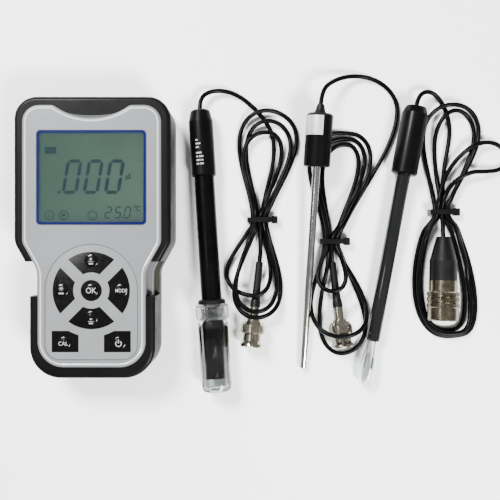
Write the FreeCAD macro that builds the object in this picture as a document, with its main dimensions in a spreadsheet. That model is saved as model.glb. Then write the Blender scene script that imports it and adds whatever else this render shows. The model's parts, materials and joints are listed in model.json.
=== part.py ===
import FreeCAD, Part
import math
import os
import re

import Sketcher
from FreeCAD import Placement, Rotation, Vector

# A handheld water quality meter laid out on a bench with its three plug-in probes and their cables.
# Frame: millimetres, +Z up from the bench, +Y towards the meter's socket end, origin at the centre
# of the meter's back face. Every driving size is a cell of the sheet "Sizes".

doc = FreeCAD.newDocument("water_quality_meter_set")
sheet = doc.addObject("Spreadsheet::Sheet", "Sizes")

# ---------------------------------------------------------------- driving sizes, millimetres
SIZES = {
    # meter case, seen from the front
    "case_length": 163.0,
    "head_width": 90.5,
    "grip_width": 72.6,
    "head_height": 84.5,
    "waist_drop": 16.0,
    "head_round": 13.0,
    "shoulder_round": 11.0,
    "waist_round": 11.0,
    "foot_round": 18.0,
    "case_wall": 2.0,
    "rubber_wall": 2.6,
    "face_rim": 5.2,
    "foot_rim": 1.4,
    # meter case, through its thickness
    "back_flush_z": 10.0,
    "split_z": 16.0,
    "ledge_z": 24.0,
    "face_z": 32.0,
    "rubber_top_z": 30.6,
    "fit_gap": 0.2,
    "notch_span": 44.0,
    "notch_depth": 7.4,
    # rubber grips
    "upper_grip_drop": 11.0,
    "lower_grip_drop": 15.0,
    # display
    "window_width": 62.8,
    "window_height": 54.0,
    "window_drop": 20.1,
    "window_thick": 1.2,
    "window_ledge": 2.0,
    "lcd_thick": 2.2,
    # keypad
    "pad_half_width": 26.6,
    "pad_rise": 50.9,
    "pad_bottom_rise": 11.1,
    "pad_round": 8.5,
    "pad_recess": 1.0,
    "overlay_thick": 0.8,
    "ok_radius": 6.1,
    "ring_inner": 10.4,
    "ring_outer": 22.2,
    "bar_width": 6.4,
    "corner_key_width": 15.4,
    "corner_key_height": 12.2,
    "corner_key_inset": 3.9,
    "corner_key_rise": 4.4,
    "key_gap": 0.15,
    "key_plate": 0.4,
    "key_travel": 0.5,
    "dome_radius": 4.0,
    "dome_height": 0.8,
    "stem_radius": 2.2,
    "switch_size": 6.0,
    "switch_height": 0.8,
    # board, battery and screws
    "board_z": 26.0,
    "board_thick": 1.6,
    "board_margin": 1.5,
    "door_margin": 1.6,
    "door_length": 59.5,
    "battery_radius": 5.2,
    "battery_length": 44.5,
    "battery_gap": 0.4,
    "screw_head_radius": 2.7,
    "screw_radius": 1.4,
    "screw_head_depth": 2.4,
    "boss_radius": 3.8,
    "screw_upper_inset": 10.25,
    "screw_upper_drop": 31.5,
    "screw_lower_inset": 9.3,
    "screw_lower_rise": 19.5,
    # socket block in the top end
    "block_width": 70.0,
    "block_depth": 18.0,
    "block_low_z": 2.2,
    "block_high_z": 23.8,
    "block_setback": 1.0,
    "socket_pitch": 22.5,
    "well_radius": 8.6,
    "cell_well_radius": 10.0,
    "well_depth": 13.5,
    # pH probe, along its axis from the bottle's closed end
    "bottle_room": 1.45,
    "bottle_length": 43.4,
    "bottle_wall": 1.0,
    "nut_wall": 1.15,
    "nut_length": 9.4,
    "seal_wall": 2.25,
    "seal_length": 2.6,
    "ph_tube_radius": 6.15,
    "ph_tube_wall": 1.1,
    "ph_tip_y": 8.0,
    "ph_handle_y": 130.6,
    "ph_handle_wall": 1.25,
    "ph_handle_length": 33.4,
    "ph_cap_length": 7.0,
    "ph_cap_bevel": 2.0,
    "running_gap": 0.05,
    # temperature probe, along its axis from the rod's tip
    "rod_radius": 2.25,
    "rod_wall": 0.5,
    "rod_step": 0.3,
    "rod_length": 124.5,
    "temp_handle_radius": 8.0,
    "temp_handle_length": 31.6,
    "temp_relief_length": 5.4,
    "temp_relief_radius": 2.9,
    # conductivity probe, along its axis from the glass tip's open end
    "cell_tip_radius": 5.1,
    "cell_neck_radius": 3.2,
    "cell_tip_length": 27.3,
    "cell_glass_wall": 0.8,
    "cell_tube_radius": 4.25,
    "cell_handle_y": 130.9,
    "cell_handle_radius": 7.9,
    "cell_handle_length": 31.8,
    "cell_cap_length": 9.9,
    "cell_cap_tip_radius": 6.0,
    # bayonet plugs, from the mouth
    "bnc_collar_radius": 7.1,
    "bnc_collar_waist": 5.6,
    "bnc_collar_lip": 6.8,
    "bnc_bore": 4.9,
    "bnc_collar_length": 15.6,
    "bnc_grip_start": 8.2,
    "bnc_shield_radius": 4.05,
    "bnc_rear_radius": 4.2,
    "bnc_flange_radius": 5.8,
    "ferrule_radius": 3.1,
    "ferrule_end": 24.6,
    "boot_radius": 2.5,
    "boot_end": 52.4,
    # round multi-pin plug, from the mouth
    "pin_nut_radius": 9.5,
    "pin_nut_length": 17.5,
    "pin_nut_wall": 1.5,
    "pin_shell_radius": 8.4,
    "pin_shell_end": 24.2,
    "pin_boot_end": 51.0,
    "pin_boot_tip_radius": 4.2,
    "insert_radius": 6.2,
    # cables
    "cable_radius": 1.4,
    "hank_slack": 0.1,
    "tie_width": 3.0,
    "tie_wall": 1.0,
    "tie_floor": 0.6,
}

# sizes and places that follow from the cells
SHOULDER_Y = "(case_length / 2 - head_height)"
WAIST_Y = "(case_length / 2 - head_height - waist_drop)"
WINDOW_Y = "(case_length / 2 - window_drop - window_height / 2)"
PAD_Y = "(pad_rise - case_length / 2)"
PAD_BOTTOM_Y = "(pad_bottom_rise - case_length / 2)"
CORNER_BASE_Y = "(pad_bottom_rise + corner_key_rise - case_length / 2)"
BATTERY_PITCH = "(2 * battery_radius + battery_gap)"
DOOR_WIDTH = f"(3 * {BATTERY_PITCH} + door_margin)"
DOOR_TOP_Y = "(door_length - case_length / 2)"
BOTTLE_RADIUS = "(ph_tube_radius + bottle_room + bottle_wall)"
NUT_RADIUS = f"({BOTTLE_RADIUS} + nut_wall)"
SEAL_RADIUS = "(ph_tube_radius + seal_wall)"
PH_HANDLE_RADIUS = "(ph_tube_radius + ph_handle_wall)"
PH_CAP_TIP_RADIUS = f"({PH_HANDLE_RADIUS} - ph_cap_bevel)"
HANK_THICK = "(4 * cable_radius + hank_slack)"

for row, (alias, value) in enumerate(SIZES.items(), 1):
    sheet.set(f"A{row}", alias)
    sheet.set(f"B{row}", str(value))
    sheet.setAlias(f"B{row}", alias)
doc.recompute()

# ---------------------------------------------------------------- helpers
SUBPARTS = []


def cells(text):
    """An expression over plain size names, with each name pointed at its cell."""
    return re.sub(r"[a-z][a-z_]+", lambda m: "Sizes." + m[0] if m[0] in SIZES else m[0], str(text))


def num(text):
    """The value of such an expression now."""
    return float(sheet.evalExpression(cells(text)))


def bind(obj, prop, text):
    obj.setExpression(prop, cells(text))


def keep(obj, label):
    """Names a finished piece, so that it is written out."""
    obj.Label = label
    SUBPARTS.append(obj)
    return obj


def at(obj, x="0", y="0", z="0", rotation=Rotation()):
    """Puts an object at a bound place, with a fixed rotation."""
    obj.Placement = Placement(Vector(num(x), num(y), num(z)), rotation)
    for axis, text in zip("xyz", (x, y, z)):
        bind(obj, f"Placement.Base.{axis}", text)
    return obj


def box(name, x, y, z, rotation=Rotation()):
    """A box between bound limits: each of x, y, z is (low, high)."""
    obj = doc.addObject("Part::Box", name)
    for prop, (low, high) in zip(("Length", "Width", "Height"), (x, y, z)):
        bind(obj, prop, f"({high}) - ({low})")
    return at(obj, x[0], y[0], z[0], rotation)


ALONG_Y = Rotation(Vector(1, 0, 0), -90)
ALONG_X = Rotation(Vector(0, 1, 0), 90)


def rod(name, radius, length, x="0", y="0", z="0", rotation=Rotation()):
    obj = doc.addObject("Part::Cylinder", name)
    bind(obj, "Radius", radius)
    bind(obj, "Height", length)
    return at(obj, x, y, z, rotation)


def fuse(name, *shapes):
    obj = doc.addObject("Part::MultiFuse", name)
    obj.Shapes = list(shapes)
    return obj


def common(name, *shapes):
    obj = doc.addObject("Part::MultiCommon", name)
    obj.Shapes = list(shapes)
    return obj


def cut(name, base, *tools):
    obj = doc.addObject("Part::Cut", name)
    obj.Base = base
    obj.Tool = tools[0] if len(tools) == 1 else fuse(name + "_tools", *tools)
    return obj


def group(name, *shapes):
    """Several separate solids in one node."""
    obj = doc.addObject("Part::Compound", name)
    obj.Links = list(shapes)
    return obj


def rounded(name, base, edges, radius):
    """Fillets the base's edges that the test picks."""
    doc.recompute()
    picked = [i for i, e in enumerate(base.Shape.Edges, 1) if edges(e)]
    obj = doc.addObject("Part::Fillet", name)
    obj.Base = base
    obj.Edges = [(i, num(radius), num(radius)) for i in picked]
    doc.recompute()
    return obj


def outline(name, corners, z):
    """A closed sketch of straight runs and tangent corner arcs: corners are (x, y, radius) texts."""
    sketch = doc.addObject("Sketcher::SketchObject", name)
    points = [Vector(num(x), num(y), 0) for x, y, _ in corners]
    count = len(points)
    arcs, ends = [], []
    for i, corner in enumerate(points):
        into = (points[i - 1] - corner).normalize()
        out = (points[(i + 1) % count] - corner).normalize()
        half = into.getAngle(out) / 2
        radius = num(corners[i][2])
        reach = radius / math.tan(half)
        centre = corner + (into + out).normalize() * (radius / math.sin(half))
        first, last = corner + into * reach, corner + out * reach
        ends.append((first, last))
        left_turn = into.cross(out).z < 0
        begin, finish = (first, last) if left_turn else (last, first)
        angles = [math.atan2(p.y - centre.y, p.x - centre.x) for p in (begin, finish)]
        if angles[1] < angles[0]:
            angles[1] += 2 * math.pi
        circle = Part.Circle(centre, Vector(0, 0, 1), radius)
        arcs.append((Part.ArcOfCircle(circle, *angles), 1 if left_turn else 2))
    for i in range(count):
        sketch.addGeometry(Part.LineSegment(ends[i][1], ends[(i + 1) % count][0]))
    for arc, _ in arcs:
        sketch.addGeometry(arc)
    for i, (x, y, radius) in enumerate(corners):
        arc, before, after = count + i, (i - 1) % count, i
        first = arcs[i][1]
        sketch.addConstraint(Sketcher.Constraint("Tangent", before, 2, arc, first))
        sketch.addConstraint(Sketcher.Constraint("Tangent", arc, 3 - first, after, 1))
        size = sketch.addConstraint(Sketcher.Constraint("Radius", arc, num(radius)))
        sketch.setExpression(f"Constraints[{size}]", cells(radius))
        mark = sketch.addGeometry(Part.Point(points[i]), True)
        sketch.addConstraint(Sketcher.Constraint("PointOnObject", mark, 1, before))
        sketch.addConstraint(Sketcher.Constraint("PointOnObject", mark, 1, after))
        for kind, text in (("DistanceX", x), ("DistanceY", y)):
            where = sketch.addConstraint(Sketcher.Constraint(kind, -1, 1, mark, 1, num(text)))
            sketch.setExpression(f"Constraints[{where}]", cells(text))
    return at(sketch, z=z)


def slab(name, corners, low, high):
    """An outline extruded between two heights."""
    sketch = outline(name + "_outline", corners, low)
    obj = doc.addObject("Part::Extrusion", name)
    obj.Base = sketch
    obj.DirMode = "Custom"
    obj.Dir = Vector(0, 0, 1)
    obj.Solid = True
    bind(obj, "LengthFwd", f"({high}) - ({low})")
    return obj


def turned(name, profile):
    """A body turned about its own Y axis from a closed profile of (radius, along) texts."""
    body = doc.addObject("PartDesign::Body", name)
    sketch = body.newObject("Sketcher::SketchObject", name + "_profile")
    plane = next(f for f in body.Origin.OriginFeatures if f.Role == "XY_Plane")
    sketch.AttachmentSupport = [(plane, "")]
    sketch.MapMode = "FlatFace"
    points = [Vector(num(r), num(y), 0) for r, y in profile]
    count = len(points)
    for i in range(count):
        sketch.addGeometry(Part.LineSegment(points[i], points[(i + 1) % count]))
    for i in range(count):
        sketch.addConstraint(Sketcher.Constraint("Coincident", i, 2, (i + 1) % count, 1))
    for i, texts in enumerate(profile):
        for kind, text in zip(("DistanceX", "DistanceY"), texts):
            if str(text) == "0":
                axis = -2 if kind == "DistanceX" else -1
                sketch.addConstraint(Sketcher.Constraint("PointOnObject", i, 1, axis))
            else:
                where = sketch.addConstraint(Sketcher.Constraint(kind, -1, 1, i, 1, num(text)))
                sketch.setExpression(f"Constraints[{where}]", cells(text))
    spin = body.newObject("PartDesign::Revolution", name + "_turn")
    spin.Profile = sketch
    spin.ReferenceAxis = (sketch, ["V_Axis"])
    spin.Angle = 360
    body.Tip = spin
    return body


def tube(name, outer, inner, low, high):
    return turned(name, [(inner, low), (outer, low), (outer, high), (inner, high)])


def stick(name, radius, low, high):
    return turned(name, [("0", low), (radius, low), (radius, high), ("0", high)])


# ---------------------------------------------------------------- meter case
def case_corners(inset, foot_extra="0", round_less="0"):
    """The case seen from the front, moved inwards by a margin."""
    head, hand = f"(head_width / 2 - ({inset}))", f"(grip_width / 2 - ({inset}))"
    top, bottom = f"(case_length / 2 - ({inset}))", f"(-case_length / 2 + ({inset}) + {foot_extra})"
    less = f"({inset}) * 0.6"
    right = [
        (head, top, f"head_round - {less}"),
        (head, SHOULDER_Y, f"shoulder_round - {less}"),
        (hand, WAIST_Y, f"waist_round + {less}"),
        (hand, bottom, f"foot_round - {less}"),
    ]
    left = [(f"-{x}", y, r) for x, y, r in reversed(right)]
    return right + left


def notch(name, low, high, extra="0"):
    """The thumb notch's cutting disc, sized from its span and depth at the face's top edge."""
    radius = "((notch_span / 2)^2 + notch_depth^2) / (2 * notch_depth)"
    edge = "case_length / 2 - face_rim"
    return rod(name, f"{radius} - ({extra})", f"({high}) - ({low})", y=f"{edge} - notch_depth + {radius}",
               z=low)


BLOCK_Y = "case_length / 2 - block_setback - block_depth"
SCREWS = [(side, x, y) for side in ("", "-") for x, y in
          (("(head_width / 2 - screw_upper_inset)", "(case_length / 2 - screw_upper_drop)"),
           ("(grip_width / 2 - screw_lower_inset)", "(screw_lower_rise - case_length / 2)"))]


def block_window(name, gap="fit_gap"):
    """The opening in the top end that the socket block sits in."""
    return box(
        name,
        (f"-block_width / 2 - {gap}", f"block_width / 2 + {gap}"),
        (f"{BLOCK_Y} - {gap}", "case_length / 2 + 5"),
        (f"block_low_z - {gap}", f"block_high_z + {gap}"),
    )


def outer_edge(z):
    """Picks the edges of a rim that lies at one height."""
    return lambda e: abs(e.BoundBox.ZMin - z) < 1e-4 and abs(e.BoundBox.ZMax - z) < 1e-4


def back_cover():
    shell = fuse(
        "back_shell",
        rounded("back_foot", slab("back_low", case_corners("0"), "0", "back_flush_z"), outer_edge(0), "1.6"),
        slab("back_high", case_corners("rubber_wall"), "back_flush_z", "split_z"),
    )
    hollow = slab("back_hollow", case_corners("rubber_wall + case_wall"), "case_wall", "split_z + 1")
    inside = cut("back_inside", shell, hollow)
    posts = [rod(f"back_post_{i}", "boss_radius", "split_z", f"{s}{x}", y)
             for i, (s, x, y) in enumerate(SCREWS)]
    heads = [rod(f"back_head_{i}", "screw_head_radius + fit_gap", "screw_head_depth + 1", f"{s}{x}", y, "-1")
             for i, (s, x, y) in enumerate(SCREWS)]
    holes = [rod(f"back_hole_{i}", "screw_radius + fit_gap", "split_z + 2", f"{s}{x}", y, "-1")
             for i, (s, x, y) in enumerate(SCREWS)]
    door = box("door_opening", (f"-{DOOR_WIDTH} / 2 - fit_gap", f"{DOOR_WIDTH} / 2 + fit_gap"),
               ("-case_length / 2 - 1", f"{DOOR_TOP_Y} + fit_gap"), ("-1", "case_wall + fit_gap"))
    cover = cut("back_cover_cut", fuse("back_with_posts", inside, *posts), door, block_window("back_window"),
                *heads, *holes)
    return keep(cover, "back_cover")


def key_stem_hole(name, x, y, radius="stem_radius + fit_gap"):
    return rod(name, radius, "case_wall + 4", x, y, "face_z - case_wall - 2")


KEY_RING_MID = "(ring_inner + ring_outer) / 2 + 0.8"
CORNER_X = "pad_half_width - corner_key_inset - corner_key_width / 2 + 0.8"
CORNER_Y = f"{CORNER_BASE_Y} + corner_key_height / 2 - 1.0"
# each key's dome centre, as (x, y) from the meter's centre
KEYS = {
    "ok_key": ("0", PAD_Y),
    "up_key": ("0", f"{PAD_Y} + {KEY_RING_MID}"),
    "down_key": ("0", f"{PAD_Y} - {KEY_RING_MID}"),
    "left_key": (f"-({KEY_RING_MID})", PAD_Y),
    "mode_key": (KEY_RING_MID, PAD_Y),
    "calibrate_key": (f"-({CORNER_X})", CORNER_Y),
    "power_key": (CORNER_X, CORNER_Y),
}


def pad_slab(name, inset, low, high):
    """The keypad's arched outline between two heights: a block with a half-round top."""
    half = f"pad_half_width - ({inset})"
    lower = slab(name + "_lower", [
        (half, f"{PAD_Y} + 1", "0.8"),
        (half, f"{PAD_BOTTOM_Y} + ({inset})", f"pad_round - ({inset})"),
        (f"-({half})", f"{PAD_BOTTOM_Y} + ({inset})", f"pad_round - ({inset})"),
        (f"-({half})", f"{PAD_Y} + 1", "0.8"),
    ], low, high)
    arch = rod(name + "_arch", half, f"({high}) - ({low})", y=PAD_Y, z=low)
    return fuse(name, lower, arch)


def window_corners(margin, radius):
    x = f"(window_width / 2 - ({margin}))"
    y = f"(window_height / 2 - ({margin}))"
    return [(f"{sx}{x}", f"{WINDOW_Y} {sy} {y}", radius)
            for sx, sy in (("", "+"), ("", "-"), ("-", "-"), ("-", "+"))]


def front_cover():
    face = cut("face_notched", slab("face", case_corners("face_rim", "foot_rim"), "ledge_z", "face_z"),
               notch("face_notch", "ledge_z - 1", "face_z + 1"))
    face = rounded("face_notch_soft", face,
                   lambda e: e.BoundBox.ZLength > num("face_z - ledge_z") - 0.01
                   and abs(e.BoundBox.YMax - num("case_length / 2 - face_rim")) < 0.01
                   and abs(e.BoundBox.Center.x) < num("notch_span / 2") + 0.5, "4")
    face = rounded("face_edge", face, outer_edge(num("face_z")), "1.3")
    skirt = slab("front_skirt", case_corners("rubber_wall"), "split_z", "ledge_z")
    low = slab("front_hollow_low", case_corners("rubber_wall + case_wall"), "split_z - 1",
               "ledge_z - case_wall")
    high = cut("front_hollow_high",
               slab("front_hollow_top", case_corners("face_rim + case_wall", "foot_rim"),
                    "split_z - 1", "face_z - case_wall"),
               notch("front_hollow_notch", "split_z - 2", "face_z", "0 - case_wall"))
    shell = cut("front_shell", fuse("front_solid", face, skirt), low, high)
    posts = [rod(f"front_post_{i}", "boss_radius - 0.4", "face_z - case_wall - split_z + 0.5", f"{s}{x}", y,
                 "split_z")
             for i, (s, x, y) in enumerate(SCREWS)]
    holes = [rod(f"front_hole_{i}", "screw_radius + running_gap", "8", f"{s}{x}", y, "split_z - 1")
             for i, (s, x, y) in enumerate(SCREWS)]
    stems = [key_stem_hole(f"stem_hole_{name}", x, y) for name, (x, y) in KEYS.items()]
    cover = cut(
        "front_cover_cut",
        fuse("front_with_posts", shell, *posts),
        slab("window_recess", window_corners("-fit_gap", "2.4"), "face_z - window_thick", "face_z + 1"),
        slab("window_opening", window_corners("window_ledge", "1.2"), "split_z", "face_z + 1"),
        pad_slab("pad_recess_slab", "0", "face_z - pad_recess", "face_z + 1"),
        block_window("front_window"),
        *holes, *stems,
    )
    return keep(cover, "front_cover")


def grips():
    """The two rubber grips, cut round the case between them."""
    strap = slab("strap", case_corners("0"), "back_flush_z + fit_gap", "rubber_top_z")
    strap = rounded("strap_soft", strap, outer_edge(num("rubber_top_z")), "2.4")
    core = slab("core_low", case_corners("rubber_wall - fit_gap"), "0", "ledge_z + fit_gap")
    crown = cut("core_high", slab("core_top", case_corners("face_rim - fit_gap", "foot_rim"), "ledge_z",
                                  "face_z + 1"),
                notch("core_notch", "ledge_z - 1", "face_z + 2", "fit_gap"))
    ring = cut("strap_ring", strap, fuse("core", core, crown))
    upper = common("upper_part", ring, box("upper_half", ("-head_width", "head_width"),
                                           (f"{SHOULDER_Y} - upper_grip_drop", "case_length"),
                                           ("0", "face_z + 1")))
    keep(cut("upper_grip_cut", upper, block_window("grip_window")), "upper_grip")
    lower = common("lower_part", ring, box("lower_half", ("-head_width", "head_width"),
                                           ("-case_length", f"{WAIST_Y} - lower_grip_drop"),
                                           ("0", "face_z + 1")))
    keep(lower, "lower_grip")


def display():
    keep(slab("window_plate", window_corners("0", "2.2"), "face_z - window_thick", "face_z"),
         "display_window")
    panel = slab("lcd", window_corners("window_ledge + 0.4", "0.8"),
                 "face_z - case_wall - 0.1 - lcd_thick", "face_z - case_wall - 0.1")
    keep(panel, "lcd_panel")


# ---------------------------------------------------------------- keypad
PLATE_TOP = "face_z - 0.1"


def corner_pane(name, side, gap, low, high):
    """One lower corner's pane, its inner top corner cut away by the ring's circle."""
    outer = "(pad_half_width - corner_key_inset)"
    near, far = f"({outer} - corner_key_width + {gap})", f"({outer} - {gap})"
    x = (near, far) if side > 0 else (f"-{far}", f"-{near}")
    block = box(name + "_block", x,
                (f"{CORNER_BASE_Y} + {gap}", f"{CORNER_BASE_Y} + corner_key_height - {gap}"), (low, high))
    disc = rod(name + "_disc", f"ring_outer + 4.4 + {gap}", f"({high}) - ({low}) + 2", y=PAD_Y,
               z=f"({low}) - 1")
    return cut(name, block, disc)


def ring_pane(name, turn, gap, low, high):
    """One quarter of the key ring, parted from the next by the diagonal bars."""
    height = f"({high}) - ({low})"
    outer = rod(name + "_outer", f"ring_outer - {gap}", height, y=PAD_Y, z=low)
    inner = rod(name + "_inner", f"ring_inner + {gap}", f"{height} + 2", y=PAD_Y, z=f"({low}) - 1")
    wedge = rod(name + "_wedge", "ring_outer + 1", height, y=PAD_Y, z=low,
                rotation=Rotation(Vector(0, 0, 1), turn - 45))
    wedge.Angle = 90
    bars = []
    half, reach = f"(bar_width / 2 + {gap})", "(ring_outer + 2)"
    for i, (lean, sign) in enumerate(((45, "+"), (-45, "-"))):
        bar = doc.addObject("Part::Box", f"{name}_bar_{i}")
        bind(bar, "Length", f"2 * {reach}")
        bind(bar, "Width", f"2 * {half}")
        bind(bar, "Height", f"{height} + 2")
        corner_x = f"(-{reach} {sign} {half}) / sqrt(2)"
        corner_y = f"{PAD_Y} + (-({sign}1) * {reach} - {half}) / sqrt(2)"
        bars.append(at(bar, corner_x, corner_y, f"({low}) - 1", Rotation(Vector(0, 0, 1), lean)))
    return cut(name, common(name + "_quarter", outer, wedge), inner, *bars)


def pane(name, key, gap, low, high):
    turns = {"mode_key": 0, "up_key": 90, "left_key": 180, "down_key": 270}
    if key == "ok_key":
        return rod(name, f"ok_radius - {gap}", f"({high}) - ({low})", y=PAD_Y, z=low)
    if key in turns:
        return ring_pane(name, turns[key], gap, low, high)
    return corner_pane(name, 1 if key == "power_key" else -1, gap, low, high)


def keypad():
    base = "face_z - pad_recess"
    sheet_slab = pad_slab("overlay_slab", "fit_gap", base, f"{base} + overlay_thick")
    openings = [pane(f"opening_{key}", key, "0", f"{base} - 1", "face_z + 1") for key in KEYS]
    keep(cut("overlay_cut", sheet_slab, *openings), "keypad_overlay")
    for key, (x, y) in KEYS.items():
        plate = pane(f"plate_{key}", key, "key_gap", f"{PLATE_TOP} - key_plate", PLATE_TOP)
        dome = doc.addObject("Part::Ellipsoid", f"dome_{key}")
        dome.Angle1 = 0
        bind(dome, "Radius1", "dome_height")
        bind(dome, "Radius2", "dome_radius")
        at(dome, x, y, f"{PLATE_TOP} - 0.05")
        stem = rod(f"stem_{key}", "stem_radius", f"{PLATE_TOP} - key_plate + 0.1 - (board_z + board_thick"
                   " + switch_height + key_travel + 0.1)", x, y,
                   "board_z + board_thick + switch_height + key_travel + 0.1")
        keep(fuse(f"{key}_solid", plate, dome, stem), key)
    switches = [box(f"switch_{key}", (f"{x} - switch_size / 2", f"{x} + switch_size / 2"),
                    (f"{y} - switch_size / 2", f"{y} + switch_size / 2"),
                    ("board_z + board_thick", "board_z + board_thick + switch_height"))
                for key, (x, y) in KEYS.items()]
    keep(group("switches", *switches), "dome_switches")


# ---------------------------------------------------------------- inside the case
def electronics():
    margin = "face_rim + case_wall + board_margin"
    plate = slab("board_plate", case_corners(margin, "foot_rim"), "board_z", "board_z + board_thick")
    posts = [rod(f"board_post_{i}", "boss_radius + 0.4", "4", f"{s}{x}", y, "board_z - 1")
             for i, (s, x, y) in enumerate(SCREWS)]
    clear = box("board_notch_gap", ("-notch_span / 2 - 6", "notch_span / 2 + 6"),
                ("case_length / 2 - face_rim - notch_depth - case_wall - board_margin", "case_length"),
                ("board_z - 1", "board_z + 4"))
    keep(cut("board_cut", plate, clear, *posts), "circuit_board")
    chips = []
    for i, (x, y, wide, tall, high) in enumerate((
            ("0", "30", 14.0, 14.0, 1.4), ("-22", "24", 9.0, 6.0, 1.6), ("20", "38", 7.0, 11.0, 1.6),
            ("22", "12", 8.0, 8.0, 3.2), ("-14", "48", 11.0, 5.0, 2.4))):
        chips.append(box(f"chip_{i}", (f"{x} - {wide} / 2", f"{x} + {wide} / 2"),
                         (f"{y} - {tall} / 2", f"{y} + {tall} / 2"), (f"board_z - {high}", "board_z")))
    keep(group("chips", *chips), "board_chips")


def battery_bay():
    door = box("door_plate", (f"-{DOOR_WIDTH} / 2", f"{DOOR_WIDTH} / 2"),
               ("-case_length / 2 + 0.6", DOOR_TOP_Y),
               ("0", "case_wall"))
    grooves = [box(f"door_groove_{i}", ("-7", "7"),
                   (f"{DOOR_TOP_Y} - {8 + 3 * i}", f"{DOOR_TOP_Y} - {6.8 + 3 * i}"),
                   ("-1", "0.5")) for i in range(4)]
    keep(cut("door_cut", door, *grooves), "battery_door")
    start = f"{DOOR_TOP_Y} - 4 - battery_length"
    cells_made, contacts = [], []
    for i, step in enumerate((-1, 0, 1)):
        x = f"{step} * {BATTERY_PITCH}"
        z = "case_wall + fit_gap + battery_radius + 0.8"
        can = rod(f"battery_can_{i}", "battery_radius", "battery_length - 1.4", x, start, z, ALONG_Y)
        button = rod(f"battery_button_{i}", "2", "battery_length", x, start, z, ALONG_Y)
        cells_made.append(fuse(f"battery_{i}", can, button))
        for end, y in enumerate((f"{start} - 0.7", f"{start} + battery_length + 0.1")):
            contacts.append(box(f"contact_{i}_{end}", (f"{x} - 4", f"{x} + 4"), (y, f"{y} + 0.6"),
                                ("case_wall + fit_gap + 0.8", "case_wall + fit_gap + 10")))
    keep(group("batteries_group", *cells_made), "batteries")
    keep(group("contacts_group", *contacts), "battery_contacts")


def screws():
    made = []
    for i, (s, x, y) in enumerate(SCREWS):
        head = rod(f"screw_head_{i}", "screw_head_radius", "screw_head_depth - 0.6", f"{s}{x}", y, "0.6")
        shank = rod(f"screw_shank_{i}", "screw_radius", "split_z + 5", f"{s}{x}", y, "0.7")
        slot = box(f"screw_slot_{i}", (f"{s}{x} - 2", f"{s}{x} + 2"), (f"{y} - 0.35", f"{y} + 0.35"),
                   ("0", "1.5"))
        made.append(cut(f"screw_{i}", fuse(f"screw_body_{i}", head, shank), slot))
    keep(group("screws_group", *made), "case_screws")


SOCKET_Z = "(block_low_z + block_high_z) / 2"
SOCKET_FLOOR = "case_length / 2 - block_setback - well_depth"


def sockets():
    block = box("block_body", ("-block_width / 2", "block_width / 2"),
                (BLOCK_Y, "case_length / 2 - block_setback"), ("block_low_z", "block_high_z"))
    wells = []
    for i, (x, radius) in enumerate((("-socket_pitch", "well_radius"), ("0", "well_radius"),
                                     ("socket_pitch", "cell_well_radius"))):
        wells.append(rod(f"well_{i}", radius, "well_depth + 5", x, SOCKET_FLOOR, SOCKET_Z, ALONG_Y))
        wells.append(rod(f"well_stem_{i}", "3.4", "block_depth", x, f"{BLOCK_Y} - 1", SOCKET_Z, ALONG_Y))
    keep(cut("block_cut", block, *wells), "socket_block")
    made = []
    for i, x in enumerate(("-socket_pitch", "0")):
        barrel = tube(f"bnc_barrel_{i}", "4.8", "4.15", "0.5", "well_depth - 1")
        base = stick(f"bnc_base_{i}", "6.6", "0", "1.6")
        stem = stick(f"bnc_stem_{i}", "3.3", "-8", "0.5")
        pin = stick(f"bnc_centre_{i}", "1.0", "1", "7")
        lugs = rod(f"bnc_lugs_{i}", "1.0", "11", "-5.5", "9.4", "0", ALONG_X)
        bore = stick(f"bnc_clear_{i}", "4.15", "5", "12")
        jack = fuse(f"bnc_jack_{i}", barrel, base, stem, pin, cut(f"bnc_lug_pair_{i}", lugs, bore))
        made.append(at(jack, x, SOCKET_FLOOR, SOCKET_Z))
    keep(group("bnc_jacks", *made), "bnc_sockets")
    ring = tube("cell_ring", "7.6", "6.5", "0.5", "well_depth - 2")
    base = stick("cell_base", "7.6", "0", "4")
    stem = stick("cell_stem", "3.3", "-8", "0.5")
    pins = [rod(f"cell_socket_pin_{i}", "0.6", "5", f"3.4 * cos({72 * i + 90})", "3.5",
                f"3.4 * sin({72 * i + 90})",
                ALONG_Y) for i in range(5)]
    keep(at(fuse("cell_jack", ring, base, stem, *pins), "socket_pitch", SOCKET_FLOOR, SOCKET_Z),
         "cell_socket")


# ---------------------------------------------------------------- places on the bench
def laid(x, y, z, heading, tilt):
    """A frame whose Y runs along a probe or plug: heading turns it on the bench, tilt lifts its far end."""
    turn = Rotation(Vector(0, 0, 1), heading).multiply(Rotation(Vector(1, 0, 0), tilt))
    return Placement(Vector(x, y, z), turn)


def rise(low, high, length):
    """The tilt, in degrees, of an axis that climbs from one height to another."""
    return math.degrees(math.atan2(high - low, length))


PH_TILT = rise(num(NUT_RADIUS), num(PH_HANDLE_RADIUS), num("ph_handle_y + ph_handle_length - bottle_length"))
PH_Z = num(NUT_RADIUS) - math.tan(math.radians(PH_TILT)) * num("bottle_length + nut_length")
TEMP_UNDER = 5.8
TEMP_TILT = rise(num("rod_radius"), num("temp_handle_radius") + TEMP_UNDER, num("rod_length"))
CELL_TILT = rise(num("cell_tip_radius"), num("cell_handle_radius"), num("cell_handle_y - 9.6"))
CELL_Z = num("cell_tip_radius") + 0.1 - math.tan(math.radians(CELL_TILT)) * 10.5
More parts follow.
